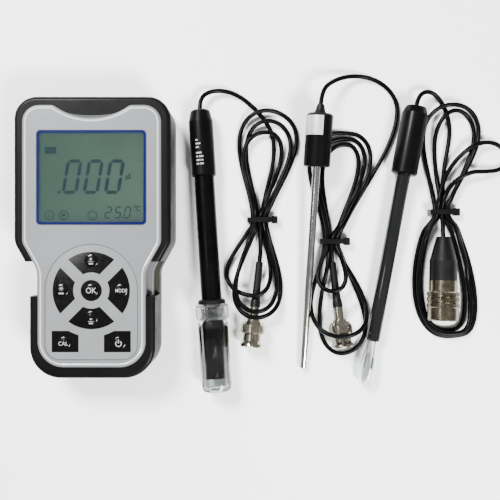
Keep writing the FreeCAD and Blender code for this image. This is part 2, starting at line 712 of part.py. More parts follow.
# a plug rests on the back of its collar or nut and on its boot, so its mouth is lifted a little
BNC_REST = num("bnc_collar_length - 2.2")
BNC_TILT = -rise(num("boot_radius"), num("bnc_collar_radius"), num("boot_end") - BNC_REST)
BNC_Z = num("bnc_collar_radius") + 0.1 - math.tan(math.radians(BNC_TILT)) * BNC_REST
PIN_REST = num("pin_nut_length - 0.6")
PIN_BEND = num("pin_shell_end + 12")
PIN_TILT = -rise(num("pin_shell_radius - 0.2"), num("pin_nut_radius"), PIN_BEND - PIN_REST)
PIN_Z = num("pin_nut_radius") + 0.1 - math.tan(math.radians(PIN_TILT)) * PIN_REST

PH_FRAME = laid(71.2, -92.6, PH_Z, 3.55, PH_TILT)
TEMP_FRAME = laid(124.1, -80.9, num("rod_radius") + 0.05, -3.35, TEMP_TILT)
CELL_FRAME = laid(161.8, -89.9, CELL_Z, -10.3, CELL_TILT)
PH_PLUG_FRAME = laid(91.8, -66.6, BNC_Z, -5.8, BNC_TILT)
TEMP_PLUG_FRAME = laid(147.9, -66.8, BNC_Z, 6.3, BNC_TILT)
CELL_PLUG_FRAME = laid(208.4, -50.2, PIN_Z, -1.5, PIN_TILT)


def lay(obj, frame, label):
    obj.Placement = frame
    return keep(obj, label)


# ---------------------------------------------------------------- pH probe
def ph_probe():
    wall, gap = "bottle_wall", "running_gap"
    bottle = turned("ph_bottle", [
        ("0", "0"), (f"{BOTTLE_RADIUS} - 1.2", "0"), (BOTTLE_RADIUS, "1.4"),
        (BOTTLE_RADIUS, "bottle_length - 0.4"),
        (f"{BOTTLE_RADIUS} - 0.9", "bottle_length - 0.4"),
        (f"{BOTTLE_RADIUS} - 0.9", "bottle_length + nut_length - 3"),
        (f"ph_tube_radius + {gap} + 0.3", "bottle_length + nut_length - 3"),
        (f"ph_tube_radius + {gap} + 0.3", "bottle_length - 2"),
        (f"{BOTTLE_RADIUS} - {wall}", "bottle_length - 4"),
        (f"{BOTTLE_RADIUS} - {wall}", "2.4"), (f"{BOTTLE_RADIUS} - 2", "1.2"), ("0", "1.2")])
    lay(bottle, PH_FRAME, "ph_bottle")
    nut = turned("ph_nut", [
        (f"{BOTTLE_RADIUS} - 0.9 + {gap}", "bottle_length"), (f"{NUT_RADIUS} - 0.5", "bottle_length"),
        (NUT_RADIUS, "bottle_length + 0.8"), (NUT_RADIUS, "bottle_length + nut_length - 0.9"),
        (f"{NUT_RADIUS} - 0.7", "bottle_length + nut_length"),
        (f"{SEAL_RADIUS} - 1.4", "bottle_length + nut_length"),
        (f"{SEAL_RADIUS} - 1.4", "bottle_length + nut_length - 1.6"),
        (f"{BOTTLE_RADIUS} - 0.9 + {gap}", "bottle_length + nut_length - 1.6")])
    lay(nut, PH_FRAME, "ph_bottle_nut")
    top = "bottle_length + nut_length"
    seal = turned("ph_seal", [
        (f"ph_tube_radius + {gap}", f"{top} + 0.1"), (SEAL_RADIUS, f"{top} + 0.1"),
        (SEAL_RADIUS, f"{top} + seal_length - 0.9"), (f"{SEAL_RADIUS} - 0.8", f"{top} + seal_length"),
        (f"ph_tube_radius + {gap}", f"{top} + seal_length")])
    lay(seal, PH_FRAME, "ph_seal_ring")
    lay(tube("ph_tube", "ph_tube_radius", "ph_tube_radius - ph_tube_wall", "ph_tip_y", "ph_handle_y + 12"),
        PH_FRAME, "ph_body_tube")
    glass = turned("ph_glass", [
        ("0", "ph_tip_y + 1.4"), ("2.4", "ph_tip_y + 2.0"), ("3.9", "ph_tip_y + 4.2"),
        ("4.2", "ph_tip_y + 6.4"),
        ("3.2", "ph_tip_y + 10"), ("3.2", "ph_handle_y"), ("2.4", "ph_handle_y"), ("2.4", "ph_tip_y + 10.4"),
        ("3.5", "ph_tip_y + 6.5"), ("3.3", "ph_tip_y + 4.6"), ("2.0", "ph_tip_y + 2.7"),
        ("0", "ph_tip_y + 2.2")])
    lay(glass, PH_FRAME, "ph_glass_electrode")
    inner = stick("ph_inner_wire", "0.5", "ph_tip_y + 8", "ph_handle_y - 2")
    outer = rod("ph_outer_wire", "0.35", "90", "4.1", "ph_tip_y + 14", "0", ALONG_Y)
    lay(group("ph_wires", inner, outer), PH_FRAME, "ph_silver_wires")
    handle = turned("ph_handle", [
        (f"ph_tube_radius + {gap}", "ph_handle_y"), (f"{PH_HANDLE_RADIUS} - 0.5", "ph_handle_y"),
        (PH_HANDLE_RADIUS, "ph_handle_y + 0.6"), (PH_HANDLE_RADIUS, "ph_handle_y + ph_handle_length"),
        ("2", "ph_handle_y + ph_handle_length"), ("2", "ph_handle_y + 14"),
        (f"ph_tube_radius + {gap}", "ph_handle_y + 14")])
    lay(handle, PH_FRAME, "ph_handle")
    end = "ph_handle_y + ph_handle_length"
    cap = turned("ph_cap", [
        ("cable_radius", end), (PH_HANDLE_RADIUS, end),
        (f"{PH_CAP_TIP_RADIUS} + 0.6", f"{end} + ph_cap_length - 0.8"),
        (f"{PH_CAP_TIP_RADIUS} - 0.4", f"{end} + ph_cap_length"), ("cable_radius", f"{end} + ph_cap_length")])
    lay(cap, PH_FRAME, "ph_cap")


# ---------------------------------------------------------------- temperature probe
def temp_probe():
    lay(turned("temp_rod", [
        ("0", "0"), ("rod_radius - 0.7", "0"), ("rod_radius", "0.9"), ("rod_radius", "rod_length - 0.2"),
        ("rod_radius - rod_step", "rod_length - 0.1"), ("rod_radius - rod_step", "rod_length + 14"),
        ("rod_radius - rod_wall", "rod_length + 14"), ("rod_radius - rod_wall", "1.6"), ("0", "1.4")]),
        TEMP_FRAME, "temp_rod")
    bead = stick("thermistor_bead", "1.4", "2.2", "6")
    leads = [rod(f"thermistor_lead_{i}", "0.3", "rod_length + 4", x, "6.1", "0", ALONG_Y)
             for i, x in enumerate(("0.7", "-0.7"))]
    lay(group("thermistor", bead, *leads), TEMP_FRAME, "temp_thermistor")
    end = "rod_length + temp_handle_length"
    handle = turned("temp_handle", [
        ("rod_radius - rod_step + running_gap", "rod_length"), ("temp_handle_radius - 0.6", "rod_length"),
        ("temp_handle_radius", "rod_length + 0.6"), ("temp_handle_radius", f"{end} - 1.2"),
        ("temp_handle_radius - 1.2", end), ("cable_radius", end), ("cable_radius", "rod_length + 16"),
        ("rod_radius - rod_step + running_gap", "rod_length + 16")])
    lay(handle, TEMP_FRAME, "temp_handle")
    relief = turned("temp_relief", [
        ("cable_radius", end), ("temp_relief_radius + 0.9", end), ("temp_relief_radius", f"{end} + 2.2"),
        ("temp_relief_radius - 0.8", f"{end} + temp_relief_length"),
        ("cable_radius", f"{end} + temp_relief_length")])
    lay(relief, TEMP_FRAME, "temp_strain_relief")


# ---------------------------------------------------------------- conductivity probe
def cell_probe():
    length, wall = "cell_tip_length", "cell_glass_wall"
    widest = "10.5"
    tip = turned("cell_tip", [
        (f"3.6 - {wall}", "0"), ("3.6", "0"), ("cell_tip_radius - 0.3", "4"), ("cell_tip_radius", widest),
        ("cell_tip_radius - 0.6", "17"), ("cell_neck_radius", f"{length} - 3"), ("cell_neck_radius", length),
        (f"cell_neck_radius - {wall}", length), (f"cell_neck_radius - {wall}", f"{length} - 3.4"),
        (f"cell_tip_radius - 0.6 - {wall}", "16.6"), (f"cell_tip_radius - {wall}", widest),
        (f"cell_tip_radius - 0.3 - {wall}", "4.3")])
    lay(tip, CELL_FRAME, "cell_glass_tip")
    plates = [box(f"cell_plate_{i}", (f"{x} - 0.2", f"{x} + 0.2"), ("10", "17"), ("-1.8", "1.8"))
              for i, x in enumerate(("-2.3", "2.3"))]
    posts = [rod(f"cell_post_{i}", "0.3", f"{length} - 10", x, "15", "0", ALONG_Y)
             for i, x in enumerate(("-2.05", "2.05"))]
    pair = [fuse(f"cell_electrode_{i}", p, q) for i, (p, q) in enumerate(zip(plates, posts))]
    lay(group("cell_plates_group", *pair), CELL_FRAME, "cell_platinum_plates")
    body = turned("cell_tube", [
        ("2.7", length), ("cell_tube_radius - 0.5", length), ("cell_tube_radius", f"{length} + 0.8"),
        ("cell_tube_radius", "cell_handle_y + 14"), ("2.7", "cell_handle_y + 14")])
    lay(body, CELL_FRAME, "cell_body_tube")
    end = "cell_handle_y + cell_handle_length"
    handle = turned("cell_handle", [
        ("cell_tube_radius + running_gap", "cell_handle_y"), ("cell_handle_radius - 0.9", "cell_handle_y"),
        ("cell_handle_radius", "cell_handle_y + 0.9"), ("cell_handle_radius", end), ("2", end),
        ("2", "cell_handle_y + 16"), ("cell_tube_radius + running_gap", "cell_handle_y + 16")])
    lay(handle, CELL_FRAME, "cell_handle")
    cap = turned("cell_cap", [
        ("cable_radius", end), ("cell_handle_radius - 0.1", end),
        ("cell_handle_radius - 0.1", f"{end} + 5.6"),
        ("cell_cap_tip_radius", f"{end} + cell_cap_length"), ("cable_radius", f"{end} + cell_cap_length")])
    lay(cap, CELL_FRAME, "cell_cap")


# ---------------------------------------------------------------- plugs
def bnc_plug(name, frame):
    """A bayonet plug: collar, body with its crimped tail, centre contact and rubber boot."""
    gap = "running_gap"
    sleeve = turned(f"{name}_sleeve", [
        ("bnc_bore", "0"), ("bnc_collar_lip - 0.3", "0"), ("bnc_collar_lip", "0.6"),
        ("bnc_collar_lip - 0.2", "2.0"),
        ("bnc_collar_waist", "3.6"), ("bnc_collar_waist", "bnc_grip_start - 0.6"),
        ("bnc_collar_radius - 0.3", "bnc_grip_start"), ("bnc_collar_radius", "bnc_grip_start + 0.6"),
        ("bnc_collar_radius", "bnc_collar_length - 2.2"), ("bnc_collar_radius - 1.4", "bnc_collar_length"),
        (f"bnc_rear_radius + {gap}", "bnc_collar_length"),
        (f"bnc_rear_radius + {gap}", "bnc_collar_length - 2"),
        (f"bnc_flange_radius + {gap}", "bnc_collar_length - 2"), (f"bnc_flange_radius + {gap}", "10"),
        ("bnc_bore", "10")])
    slots = [box(f"{name}_slot_{i}", ("-1.1", "1.1"), ("-1", "7.2"), low)
             for i, low in enumerate((("4", "9"), ("-9", "-4")))]
    lay(cut(f"{name}_collar_cut", sleeve, *slots), frame, f"{name}_collar")
    body = turned(f"{name}_body", [
        ("bnc_shield_radius - 0.6", "0.6"), ("bnc_shield_radius", "0.6"), ("bnc_shield_radius", "10.4"),
        ("bnc_flange_radius", "10.4"), ("bnc_flange_radius", "bnc_collar_length - 2.2"),
        ("bnc_rear_radius", "bnc_collar_length - 2.2"), ("bnc_rear_radius", "bnc_collar_length + 1.4"),
        ("ferrule_radius", "bnc_collar_length + 1.6"), ("ferrule_radius", "ferrule_end"),
        ("cable_radius", "ferrule_end"),
        ("cable_radius", "11"), ("bnc_shield_radius - 0.6", "11")])
    lay(body, frame, f"{name}_body")
    core = turned(f"{name}_insulator", [
        ("0.6", "5"), ("bnc_shield_radius - 0.65", "5"), ("bnc_shield_radius - 0.65", "10.9"),
        ("0.6", "10.9")])
    pin = stick(f"{name}_pin", "0.55", "1.6", "10.9")
    lay(group(f"{name}_core_group", core, pin), frame, f"{name}_core")
    boot = turned(f"{name}_boot", [
        ("cable_radius", "ferrule_end"), ("boot_radius + 0.7", "ferrule_end"),
        ("boot_radius + 0.5", "ferrule_end + 3"),
        ("boot_radius", "ferrule_end + 6"), ("boot_radius - 0.3", "boot_end"), ("cable_radius", "boot_end")])
    lay(boot, frame, f"{name}_boot")


def pin_plug(name, frame):
    """A round multi-pin plug: coupling nut, shell, pin insert and rubber boot."""
    gap = "running_gap"
    inner, rear = "pin_nut_radius - pin_nut_wall", "pin_nut_length"
    nut = turned(f"{name}_nut", [
        (inner, "0"), ("pin_nut_radius - 0.7", "0"), ("pin_nut_radius - 0.3", "0.8"),
        ("pin_nut_radius - 0.3", "7.8"),
        ("pin_nut_radius", "8.2"), ("pin_nut_radius", "10.6"), ("pin_nut_radius - 0.5", "11"),
        ("pin_nut_radius - 0.5", "11.4"), ("pin_nut_radius", "11.8"), ("pin_nut_radius", "14"),
        ("pin_nut_radius - 0.5", "14.4"), ("pin_nut_radius - 0.5", "14.8"), ("pin_nut_radius", "15.2"),
        ("pin_nut_radius", f"{rear} - 0.6"), ("pin_nut_radius - 0.6", rear),
        ("pin_shell_radius - 1.4 + " + gap, rear), ("pin_shell_radius - 1.4 + " + gap, f"{rear} - 1.6"),
        (inner, f"{rear} - 1.6")])
    lay(nut, frame, f"{name}_nut")
    shell = turned(f"{name}_shell", [
        ("insert_radius + 0.02", "2.4"), ("insert_radius + 0.8", "2.4"),
        ("insert_radius + 0.8", f"{rear} - 4"),
        (f"{inner} - 0.1", f"{rear} - 4"), (f"{inner} - 0.1", f"{rear} - 1.8"),
        ("pin_shell_radius - 1.4", f"{rear} - 1.8"), ("pin_shell_radius - 1.4", f"{rear} + 0.2"),
        ("pin_shell_radius", f"{rear} + 0.2"), ("pin_shell_radius", "pin_shell_end"),
        ("cable_radius", "pin_shell_end"), ("cable_radius", f"{rear} - 3"),
        ("insert_radius + 0.02", f"{rear} - 3")])
    lay(shell, frame, f"{name}_shell")
    face = stick(f"{name}_face", "insert_radius", "6", f"{rear} - 3.2")
    pins = [rod(f"{name}_pin_{i}", "0.5", "4.2", f"3.4 * cos({72 * i + 90})", "2",
                f"3.4 * sin({72 * i + 90})", ALONG_Y)
            for i in range(5)]
    lay(fuse(f"{name}_insert_fuse", face, *pins), frame, f"{name}_insert")
    boot = turned(f"{name}_boot", [
        ("cable_radius", "pin_shell_end"), ("pin_shell_radius - 0.1", "pin_shell_end"),
        ("pin_shell_radius - 0.2", "pin_shell_end + 12"), ("pin_boot_tip_radius", "pin_boot_end"),
        ("cable_radius", "pin_boot_end")])
    lay(boot, frame, f"{name}_boot")


# ---------------------------------------------------------------- cables
def tangent_path(points):
    """Straight runs joined by the largest tangent arcs that the runs leave room for."""
    points = [Vector(*p) for p in points]
    edges, here, radii = [], points[0], []
    for before, corner, after in zip(points, points[1:], points[2:]):
        into, out = (before - corner), (after - corner)
        reach = 0.45 * min(into.Length, out.Length)
        turn = math.pi - into.getAngle(out)
        radius = reach / math.tan(turn / 2)
        radii.append(radius)
        start, end = corner + into.normalize() * reach, corner + out.normalize() * reach
        half = math.pi / 2 - turn / 2
        centre = corner + (into + out).normalize() * (radius / math.sin(half))
        middle = centre + (corner - centre).normalize() * radius
        edges += [Part.LineSegment(here, start).toShape(), Part.Arc(start, middle, end).toShape()]
        here = end
    edges.append(Part.LineSegment(here, points[-1]).toShape())
    return Part.Wire(edges), radii


def lead(label, points):
    """The loose stretch of a cable, from its probe to its hank."""
    path, radii = tangent_path(points)
    start = Vector(*points[0])
    ring = Part.Wire(Part.makeCircle(num("cable_radius"), start, Vector(*points[1]) - start))
    solid = path.makePipeShell([ring], True, False)
    ratio = solid.Volume / (math.pi * num("cable_radius") ** 2 * path.Length)
    bends = [round(r, 1) for r in radii]
    print(f"{label}: length {path.Length:.1f}, radii {bends}, volume ratio {ratio:.3f}")
    obj = doc.addObject("Part::Feature", label)
    obj.Shape = solid
    return keep(obj, label)


def pear(near, near_radius, far, far_radius):
    """A flat pear: two discs and the straight sides that join them."""
    near, far = Vector(*near), Vector(*far)
    run = far - near
    lean = math.asin((far_radius - near_radius) / run.Length)
    along = run.normalize()
    side = Vector(-along.y, along.x, 0)

    def rim(centre, radius, sign):
        return centre + (side * sign * math.cos(lean) - along * math.sin(lean)) * radius

    a, b = rim(near, near_radius, 1), rim(far, far_radius, 1)
    c, d = rim(far, far_radius, -1), rim(near, near_radius, -1)
    edges = [
        Part.LineSegment(a, b), Part.Arc(b, far + along * far_radius, c),
        Part.LineSegment(c, d), Part.Arc(d, near - along * near_radius, a)]
    return Part.Face(Part.Wire([e.toShape() for e in edges]))


# each hank: its tie, then a lobe's end as (x, y, radius, band width, share of the way where its eye starts)
HANKS = {
    "ph_cable": ((97.1, 11.4), (5.4, 50.3, 18.1, 8.6, 0.4), (-4.4, -43.3, 17.2, 8.6, 0.64)),
    "temp_cable": ((141.7, -2.0), (5.8, 47.7, 20.5, 8.6, 0.4), (4.2, -55.0, 17.2, 6.0, 0.27)),
    "cell_cable": ((209.5, 16.2), (6.6, 50.1, 17.2, 8.6, 0.4), (4.8, -54.5, 19.0, 6.0, 0.32)),
}
# the stray loop that stands out of the third hank: near end, far end and radius, from its tie
STRAY_LOOP = ((13.0, 33.6), (32.4, 34.4), 8.6)


def hank(label, tie, lobes, plug_room, saddle=None, stray=None):
    """The space that a hank's turns fill: flat pear-shaped rings that meet at the tie, clear of the plug."""
    waist, high = 6.2, Vector(0, 0, num(HANK_THICK))
    rings = []
    for x, y, radius, band, share in lobes:
        outer = pear((0, 0, 0), waist, (x, y, 0), radius).extrude(high)
        eye = pear((x * share, y * share, 0), 1.2, (x, y, 0), radius - band).extrude(high)
        rings.append(outer.cut(eye))
    if stray:
        near, far, radius = stray
        outer = pear((*near, 0), 5.0, (*far, 0), radius).extrude(high * 0.55)
        rings.append(outer.cut(pear((*near, 0), 2.0, (*far, 0), radius - 3.4).extrude(high)))
    solid = rings[0].fuse(rings[1:])
    solid.translate(Vector(*tie, 0.05))
    strap = num("tie_width") + 0.4
    under_tie = Part.makeBox(20, strap, num("tie_floor") + 0.05, Vector(tie[0] - 10, tie[1] - strap / 2, 0))
    solid = solid.cut(under_tie)
    if saddle:
        solid = solid.fuse(saddle)
    solid = solid.cut(plug_room).removeSplitter()
    obj = doc.addObject("Part::Feature", label)
    obj.Shape = solid
    return keep(obj, label)


def plug_space(frame, steps, gap):
    """The room a plug takes: steps are (radius, from, to) along its axis, each with the ground under it."""
    room = []
    for radius, low, high in steps:
        barrel = Part.makeCylinder(radius + gap, high - low, Vector(0, low, 0), Vector(0, 1, 0))
        under = Part.makeBox(2 * (radius + gap), high - low, 20, Vector(-radius - gap, low, -20))
        room += [barrel, under]
    space = room[0].fuse(room[1:])
    space.Placement = frame
    return space


def hanks():
    boot_stop = num("boot_end") - 1
    bnc = [(num("bnc_collar_radius"), -1, 16.5), (num("bnc_rear_radius"), 16, 17.4),
           (num("ferrule_radius"), 17, num("ferrule_end") + 0.5),
           (num("boot_radius") + 0.7, num("ferrule_end"), boot_stop)]
    pin = [(num("pin_nut_radius"), -1, num("pin_nut_length") + 0.5), (num("pin_shell_radius"), 16, 37),
           (num("pin_shell_radius") - 1.4, 36, num("pin_boot_end") - 1)]
    ride = [(num("ferrule_radius") + num("cable_radius") * 2, 17, 27)]
    floor = Part.makeBox(400, 400, 40, Vector(-100, -200, 0.05))
    over = plug_space(PH_PLUG_FRAME, ride, 0.2).common(floor)
    name, (tie, *lobes) = "ph_cable", HANKS["ph_cable"]
    hank(f"{name}_hank", tie, lobes, plug_space(PH_PLUG_FRAME, bnc, 0.3), saddle=over)
    name, (tie, *lobes) = "temp_cable", HANKS["temp_cable"]
    hank(f"{name}_hank", tie, lobes, plug_space(TEMP_PLUG_FRAME, bnc, 0.3))
    name, (tie, *lobes) = "cell_cable", HANKS["cell_cable"]
    hank(f"{name}_hank", tie, lobes, plug_space(CELL_PLUG_FRAME, pin, 0.3), stray=STRAY_LOOP)


# the leads' routes: straight out of each probe, down to the bench and round to the side of its hank
LEADS = {
    "ph_cable_lead": [(60.6, 78.2, 7.4), (60.1, 86.2, 6.8), (65.4, 92.0, 5.0), (74.4, 93.4, 3.0),
                      (84.6, 89.6, 2.4), (96.0, 78.6, 3.6)],
    "temp_cable_lead": [(133.5, 79.6, 17.2), (134.3, 89.5, 15.8), (141.5, 97.5, 10.5), (152.0, 102.0, 5.0),
                        (165.0, 101.5, 2.0), (177.0, 95.5, 1.6), (184.0, 84.5, 1.6), (182.6, 70.0, 1.6),
                        (177.0, 56.5, 1.6), (167.0, 41.5, 2.9)],
    "cell_cable_lead": [(192.7, 79.9, 8.2), (194.4, 89.3, 7.4), (200.5, 94.6, 5.8), (208.3, 94.6, 4.2),
                        (214.3, 90.0, 3.2), (216.5, 82.9, 3.0)],
}


def cable_ties():
    made = []
    for name, (tie, *_) in HANKS.items():
        half, high = "6.7", f"{HANK_THICK} + 0.3"
        ring = cut(f"{name}_tie_ring",
                   box(f"{name}_tie_out", (f"-{half} - tie_wall", f"{half} + tie_wall"),
                       ("-tie_width / 2", "tie_width / 2"), ("0", f"{high} + tie_wall")),
                   box(f"{name}_tie_in", (f"-{half}", half), ("-tie_width", "tie_width"),
                       ("tie_floor", high)))
        latch = box(f"{name}_tie_latch", (f"{half} + tie_wall - 0.2", f"{half} + tie_wall + 3.4"),
                    ("-tie_width / 2 - 0.8", "tie_width / 2 + 0.8"), ("1.2", "5.4"))
        whole = fuse(f"{name}_tie", ring, latch)
        made.append(at(whole, str(tie[0]), str(tie[1]), "0"))
    keep(group("ties", *made), "cable_ties")


# ---------------------------------------------------------------- build, check and write
back_cover()
front_cover()
grips()
display()
keypad()
electronics()
battery_bay()
screws()
sockets()
ph_probe()
temp_probe()
cell_probe()
bnc_plug("ph_plug", PH_PLUG_FRAME)
bnc_plug("temp_plug", TEMP_PLUG_FRAME)
pin_plug("cell_plug", CELL_PLUG_FRAME)
hanks()
for lead_name, route in LEADS.items():
    lead(lead_name, route)
cable_ties()
doc.recompute()

failed = [o.Label for o in doc.Objects if {"Invalid", "Error"} & set(o.State)]
if failed:
    raise SystemExit(f"these objects failed: {failed}")
os.makedirs("parts", exist_ok=True)
for piece in SUBPARTS:
    if piece.Shape.isNull() or not piece.Shape.isValid():
        raise SystemExit(f"{piece.Label} has no valid shape")
    piece.Shape.exportStep(os.path.join("parts", piece.Label + ".step"))
print(len(SUBPARTS), "sub-parts written")
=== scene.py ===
# %% [markdown]
# # A water quality meter with three probes
# A hand-held meter lies on a bench beside its pH probe, its temperature probe and its conductivity probe.
# Each probe has about a metre of cable, tied in the middle, that ends in a plug. The solid model comes in as
# a fixed frame; this lesson adds the finishes, the cables and the small printed and moulded detail.

# %% Load the frame
import json
import math

import bmesh
import bpy
import numpy as np
from mathutils import Matrix, Vector


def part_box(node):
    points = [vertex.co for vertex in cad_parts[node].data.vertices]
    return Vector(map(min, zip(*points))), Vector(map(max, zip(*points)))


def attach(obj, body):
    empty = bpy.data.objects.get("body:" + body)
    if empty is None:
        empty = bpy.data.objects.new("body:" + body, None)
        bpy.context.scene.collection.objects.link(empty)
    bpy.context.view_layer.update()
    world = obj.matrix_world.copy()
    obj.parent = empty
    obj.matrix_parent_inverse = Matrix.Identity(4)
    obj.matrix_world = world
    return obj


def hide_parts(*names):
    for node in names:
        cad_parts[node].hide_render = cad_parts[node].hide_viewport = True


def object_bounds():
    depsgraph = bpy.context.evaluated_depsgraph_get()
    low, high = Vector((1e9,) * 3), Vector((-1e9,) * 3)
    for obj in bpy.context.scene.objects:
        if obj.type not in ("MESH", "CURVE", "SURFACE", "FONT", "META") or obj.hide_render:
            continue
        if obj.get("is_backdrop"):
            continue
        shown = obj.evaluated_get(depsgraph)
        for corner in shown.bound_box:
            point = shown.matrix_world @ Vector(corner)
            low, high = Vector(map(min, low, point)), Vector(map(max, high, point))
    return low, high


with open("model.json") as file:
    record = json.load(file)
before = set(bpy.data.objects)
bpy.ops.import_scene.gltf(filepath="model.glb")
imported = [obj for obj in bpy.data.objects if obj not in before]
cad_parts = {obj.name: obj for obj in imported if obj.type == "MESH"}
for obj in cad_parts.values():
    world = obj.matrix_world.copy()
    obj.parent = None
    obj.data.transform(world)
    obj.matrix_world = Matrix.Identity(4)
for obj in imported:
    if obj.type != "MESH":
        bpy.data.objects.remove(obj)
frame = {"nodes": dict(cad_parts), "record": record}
cad_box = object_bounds()
nodes, record = frame["nodes"], frame["record"]
ROOT = "instrument"
MM = 0.001
print("nodes", len(nodes), "box", [list(c) for c in cad_box])

# %% [markdown]
# ## Small helpers
# A colour on a paint card is an sRGB hex code, but a shader works in linear light, so one function turns the
# one into the other. A second one adds a node and fills or links its sockets, which keeps each finish to a
# few lines. Two more put an object in the scene and take the plain mesh of what its curve or modifier makes.

# %% Objects, colour and nodes
def placed(name, data):
    made = bpy.data.objects.new(name, data)
    bpy.context.scene.collection.objects.link(made)
    return made


def frozen(thing):
    """The plain mesh that a curve, a text or a modifier makes."""
    bpy.context.view_layer.update()
    graph = bpy.context.evaluated_depsgraph_get()
    return bpy.data.meshes.new_from_object(thing.evaluated_get(graph))


def shade(mesh, smooth):
    for face in mesh.polygons:
        face.use_smooth = smooth


def closed(work, mesh, near):
    """Welds corners that are near each other, turns all faces outward and fills the mesh."""
    bmesh.ops.remove_doubles(work, verts=work.verts, dist=near)
    bmesh.ops.recalc_face_normals(work, faces=work.faces)
    work.to_mesh(mesh)
    work.free()


def paint(code, alpha=1.0):
    """An sRGB hex code as linear light."""
    parts = [int(code[i:i + 2], 16) / 255 for i in (1, 3, 5)]
    return (*[c / 12.92 if c <= 0.04045 else ((c + 0.055) / 1.055) ** 2.4 for c in parts], alpha)


def add_node(tree, kind, sockets=None, **settings):
    """A node with its settings, and each named socket given a value or a link."""
    node = tree.nodes.new(kind)
    for name, value in settings.items():
        setattr(node, name, value)
    for name, value in (sockets or {}).items():
        if isinstance(value, bpy.types.NodeSocket):
            tree.links.new(value, node.inputs[name])
        else:
            node.inputs[name].default_value = value
    return node


def wire(tree, kind, sockets=None, output=0, **settings):
    """Adds a node and gives one of its outputs, the first unless another is named."""
    return add_node(tree, kind, sockets, **settings).outputs[output]


def new_finish(name, **constants):
    """An empty Principled material: (material, tree, shader)."""
    made = bpy.data.materials.new(name)
    made.use_nodes = True
    tree = made.node_tree
    shader = tree.nodes["Principled BSDF"]
    for socket, value in constants.items():
        shader.inputs[socket.replace("_", " ")].default_value = value
    return made, tree, shader


def noise(tree, spot, size_mm, detail):
    return wire(tree, "ShaderNodeTexNoise", {"Vector": spot, "Scale": 1 / (size_mm * MM), "Detail": detail})


def map_range(tree, **ends):
    return wire(tree, "ShaderNodeMapRange", {name.replace("_", " "): value for name, value in ends.items()})


def drive(tree, shader, gloss, height, strength, depth_mm):
    """Links a gloss and a bump height to the shader."""
    bump = wire(tree, "ShaderNodeBump", {"Height": height, "Strength": strength, "Distance": depth_mm * MM})
    tree.links.new(gloss, shader.inputs["Roughness"])
    tree.links.new(bump, shader.inputs["Normal"])


def tone(tree, shader, factor, low, high):
    """Mixes two colours, each a hex code or a socket, into the base colour."""
    mix = add_node(tree, "ShaderNodeMix", {"Factor": factor}, data_type="RGBA")
    for socket, colour in (("A", low), ("B", high)):
        if isinstance(colour, str):
            mix.inputs[socket].default_value = paint(colour)
        else:
            tree.links.new(colour, mix.inputs[socket])
    tree.links.new(mix.outputs["Result"], shader.inputs["Base Color"])


# %% [markdown]
# ## One recipe for moulded and painted surfaces
# A moulded part is never one flat colour. The tool leaves a fine grain, and handling leaves areas that are a
# little smoother. One noise of a few millimetres varies the colour and the gloss, and one of a few tenths of
# a millimetre is the grain that the bump node feels.

# %% The surface recipe
def surface(name, colour, other, rough, rough_range, grain_mm, depth_mm, patch_mm=6.0, stretch=(1, 1, 1),
            coat=0.0, coat_rough=0.1, metal=0.0, specular=0.2):
    made, tree, shader = new_finish(name, Metallic=metal, Coat_Weight=coat, Coat_Roughness=coat_rough,
                                    Specular_IOR_Level=specular)
    spot = wire(tree, "ShaderNodeTexCoord", output="Object")
    turned = wire(tree, "ShaderNodeMapping", {"Vector": spot, "Scale": stretch})
    patches = noise(tree, spot, patch_mm, 3.0)
    tone(tree, shader, patches, colour, other)
    gloss = map_range(tree, Value=patches, From_Min=0.3, From_Max=0.7, To_Min=rough - rough_range,
                      To_Max=rough + rough_range)
    drive(tree, shader, gloss, noise(tree, turned, grain_mm, 4.0), 0.6, depth_mm)
    return made


def clear_finish(name, colour, rough, ior, wave_mm, depth_mm):
    """A see-through material whose moulded or drawn surface is very slightly wavy."""
    made, tree, shader = new_finish(name, Base_Color=paint(colour), Transmission_Weight=1.0, IOR=ior)
    spot = wire(tree, "ShaderNodeTexCoord", output="Object")
    waves = noise(tree, spot, wave_mm, 2.0)
    gloss = map_range(tree, Value=waves, To_Min=rough * 0.5, To_Max=rough * 1.5)
    drive(tree, shader, gloss, waves, 0.5, depth_mm)
    return made


# %% [markdown]
# ## The finishes
# The case front is ABS sprayed with silver lacquer. The grips are moulded thermoplastic rubber. The back
# shell is grey ABS with a spark-eroded grain. The keys are epoxy-domed and glossy, under a slightly crinkled
# clear film.

# %% Meter finishes
SKIN = dict(coat=0.03, coat_rough=0.12)
SATIN = dict(specular=0.05, coat=0.06, coat_rough=0.12)
silver_lacquer = surface("silver_lacquer_on_abs", "#606264", "#686A6C", 0.36, 0.05, 0.25, 0.006,
                         patch_mm=30.0, coat=0.25, coat_rough=0.2)
grey_abs = surface("spark_eroded_grey_abs", "#2E2F28", "#35362E", 0.55, 0.06, 0.35, 0.05)
grip_rubber = surface("satin_black_tpe_rubber", "#050505", "#080808", 0.46, 0.06, 0.3, 0.03, patch_mm=12.0,
                      specular=0.06, **SKIN)
keypad_film = surface("printed_polyester_keypad_film", "#646667", "#6C6E6F", 0.4, 0.06, 0.2, 0.006,
                      patch_mm=14.0, coat=0.2, coat_rough=0.15)
key_epoxy = surface("glossy_black_epoxy_key", "#030303", "#060606", 0.2, 0.06, 2.6, 0.22, patch_mm=3.0,
                    coat=0.3, coat_rough=0.12, specular=0.08)
white_ink = surface("white_screen_ink", "#8F908E", "#868785", 0.5, 0.05, 0.15, 0.004)
blue_ink = surface("blue_screen_ink", "#0D113F", "#101548", 0.32, 0.04, 0.4, 0.003, specular=0.03)
window_acrylic = clear_finish("clear_acrylic_window", "#FCFEFD", 0.02, 1.12, 25.0, 0.01)
print("meter finishes ready")
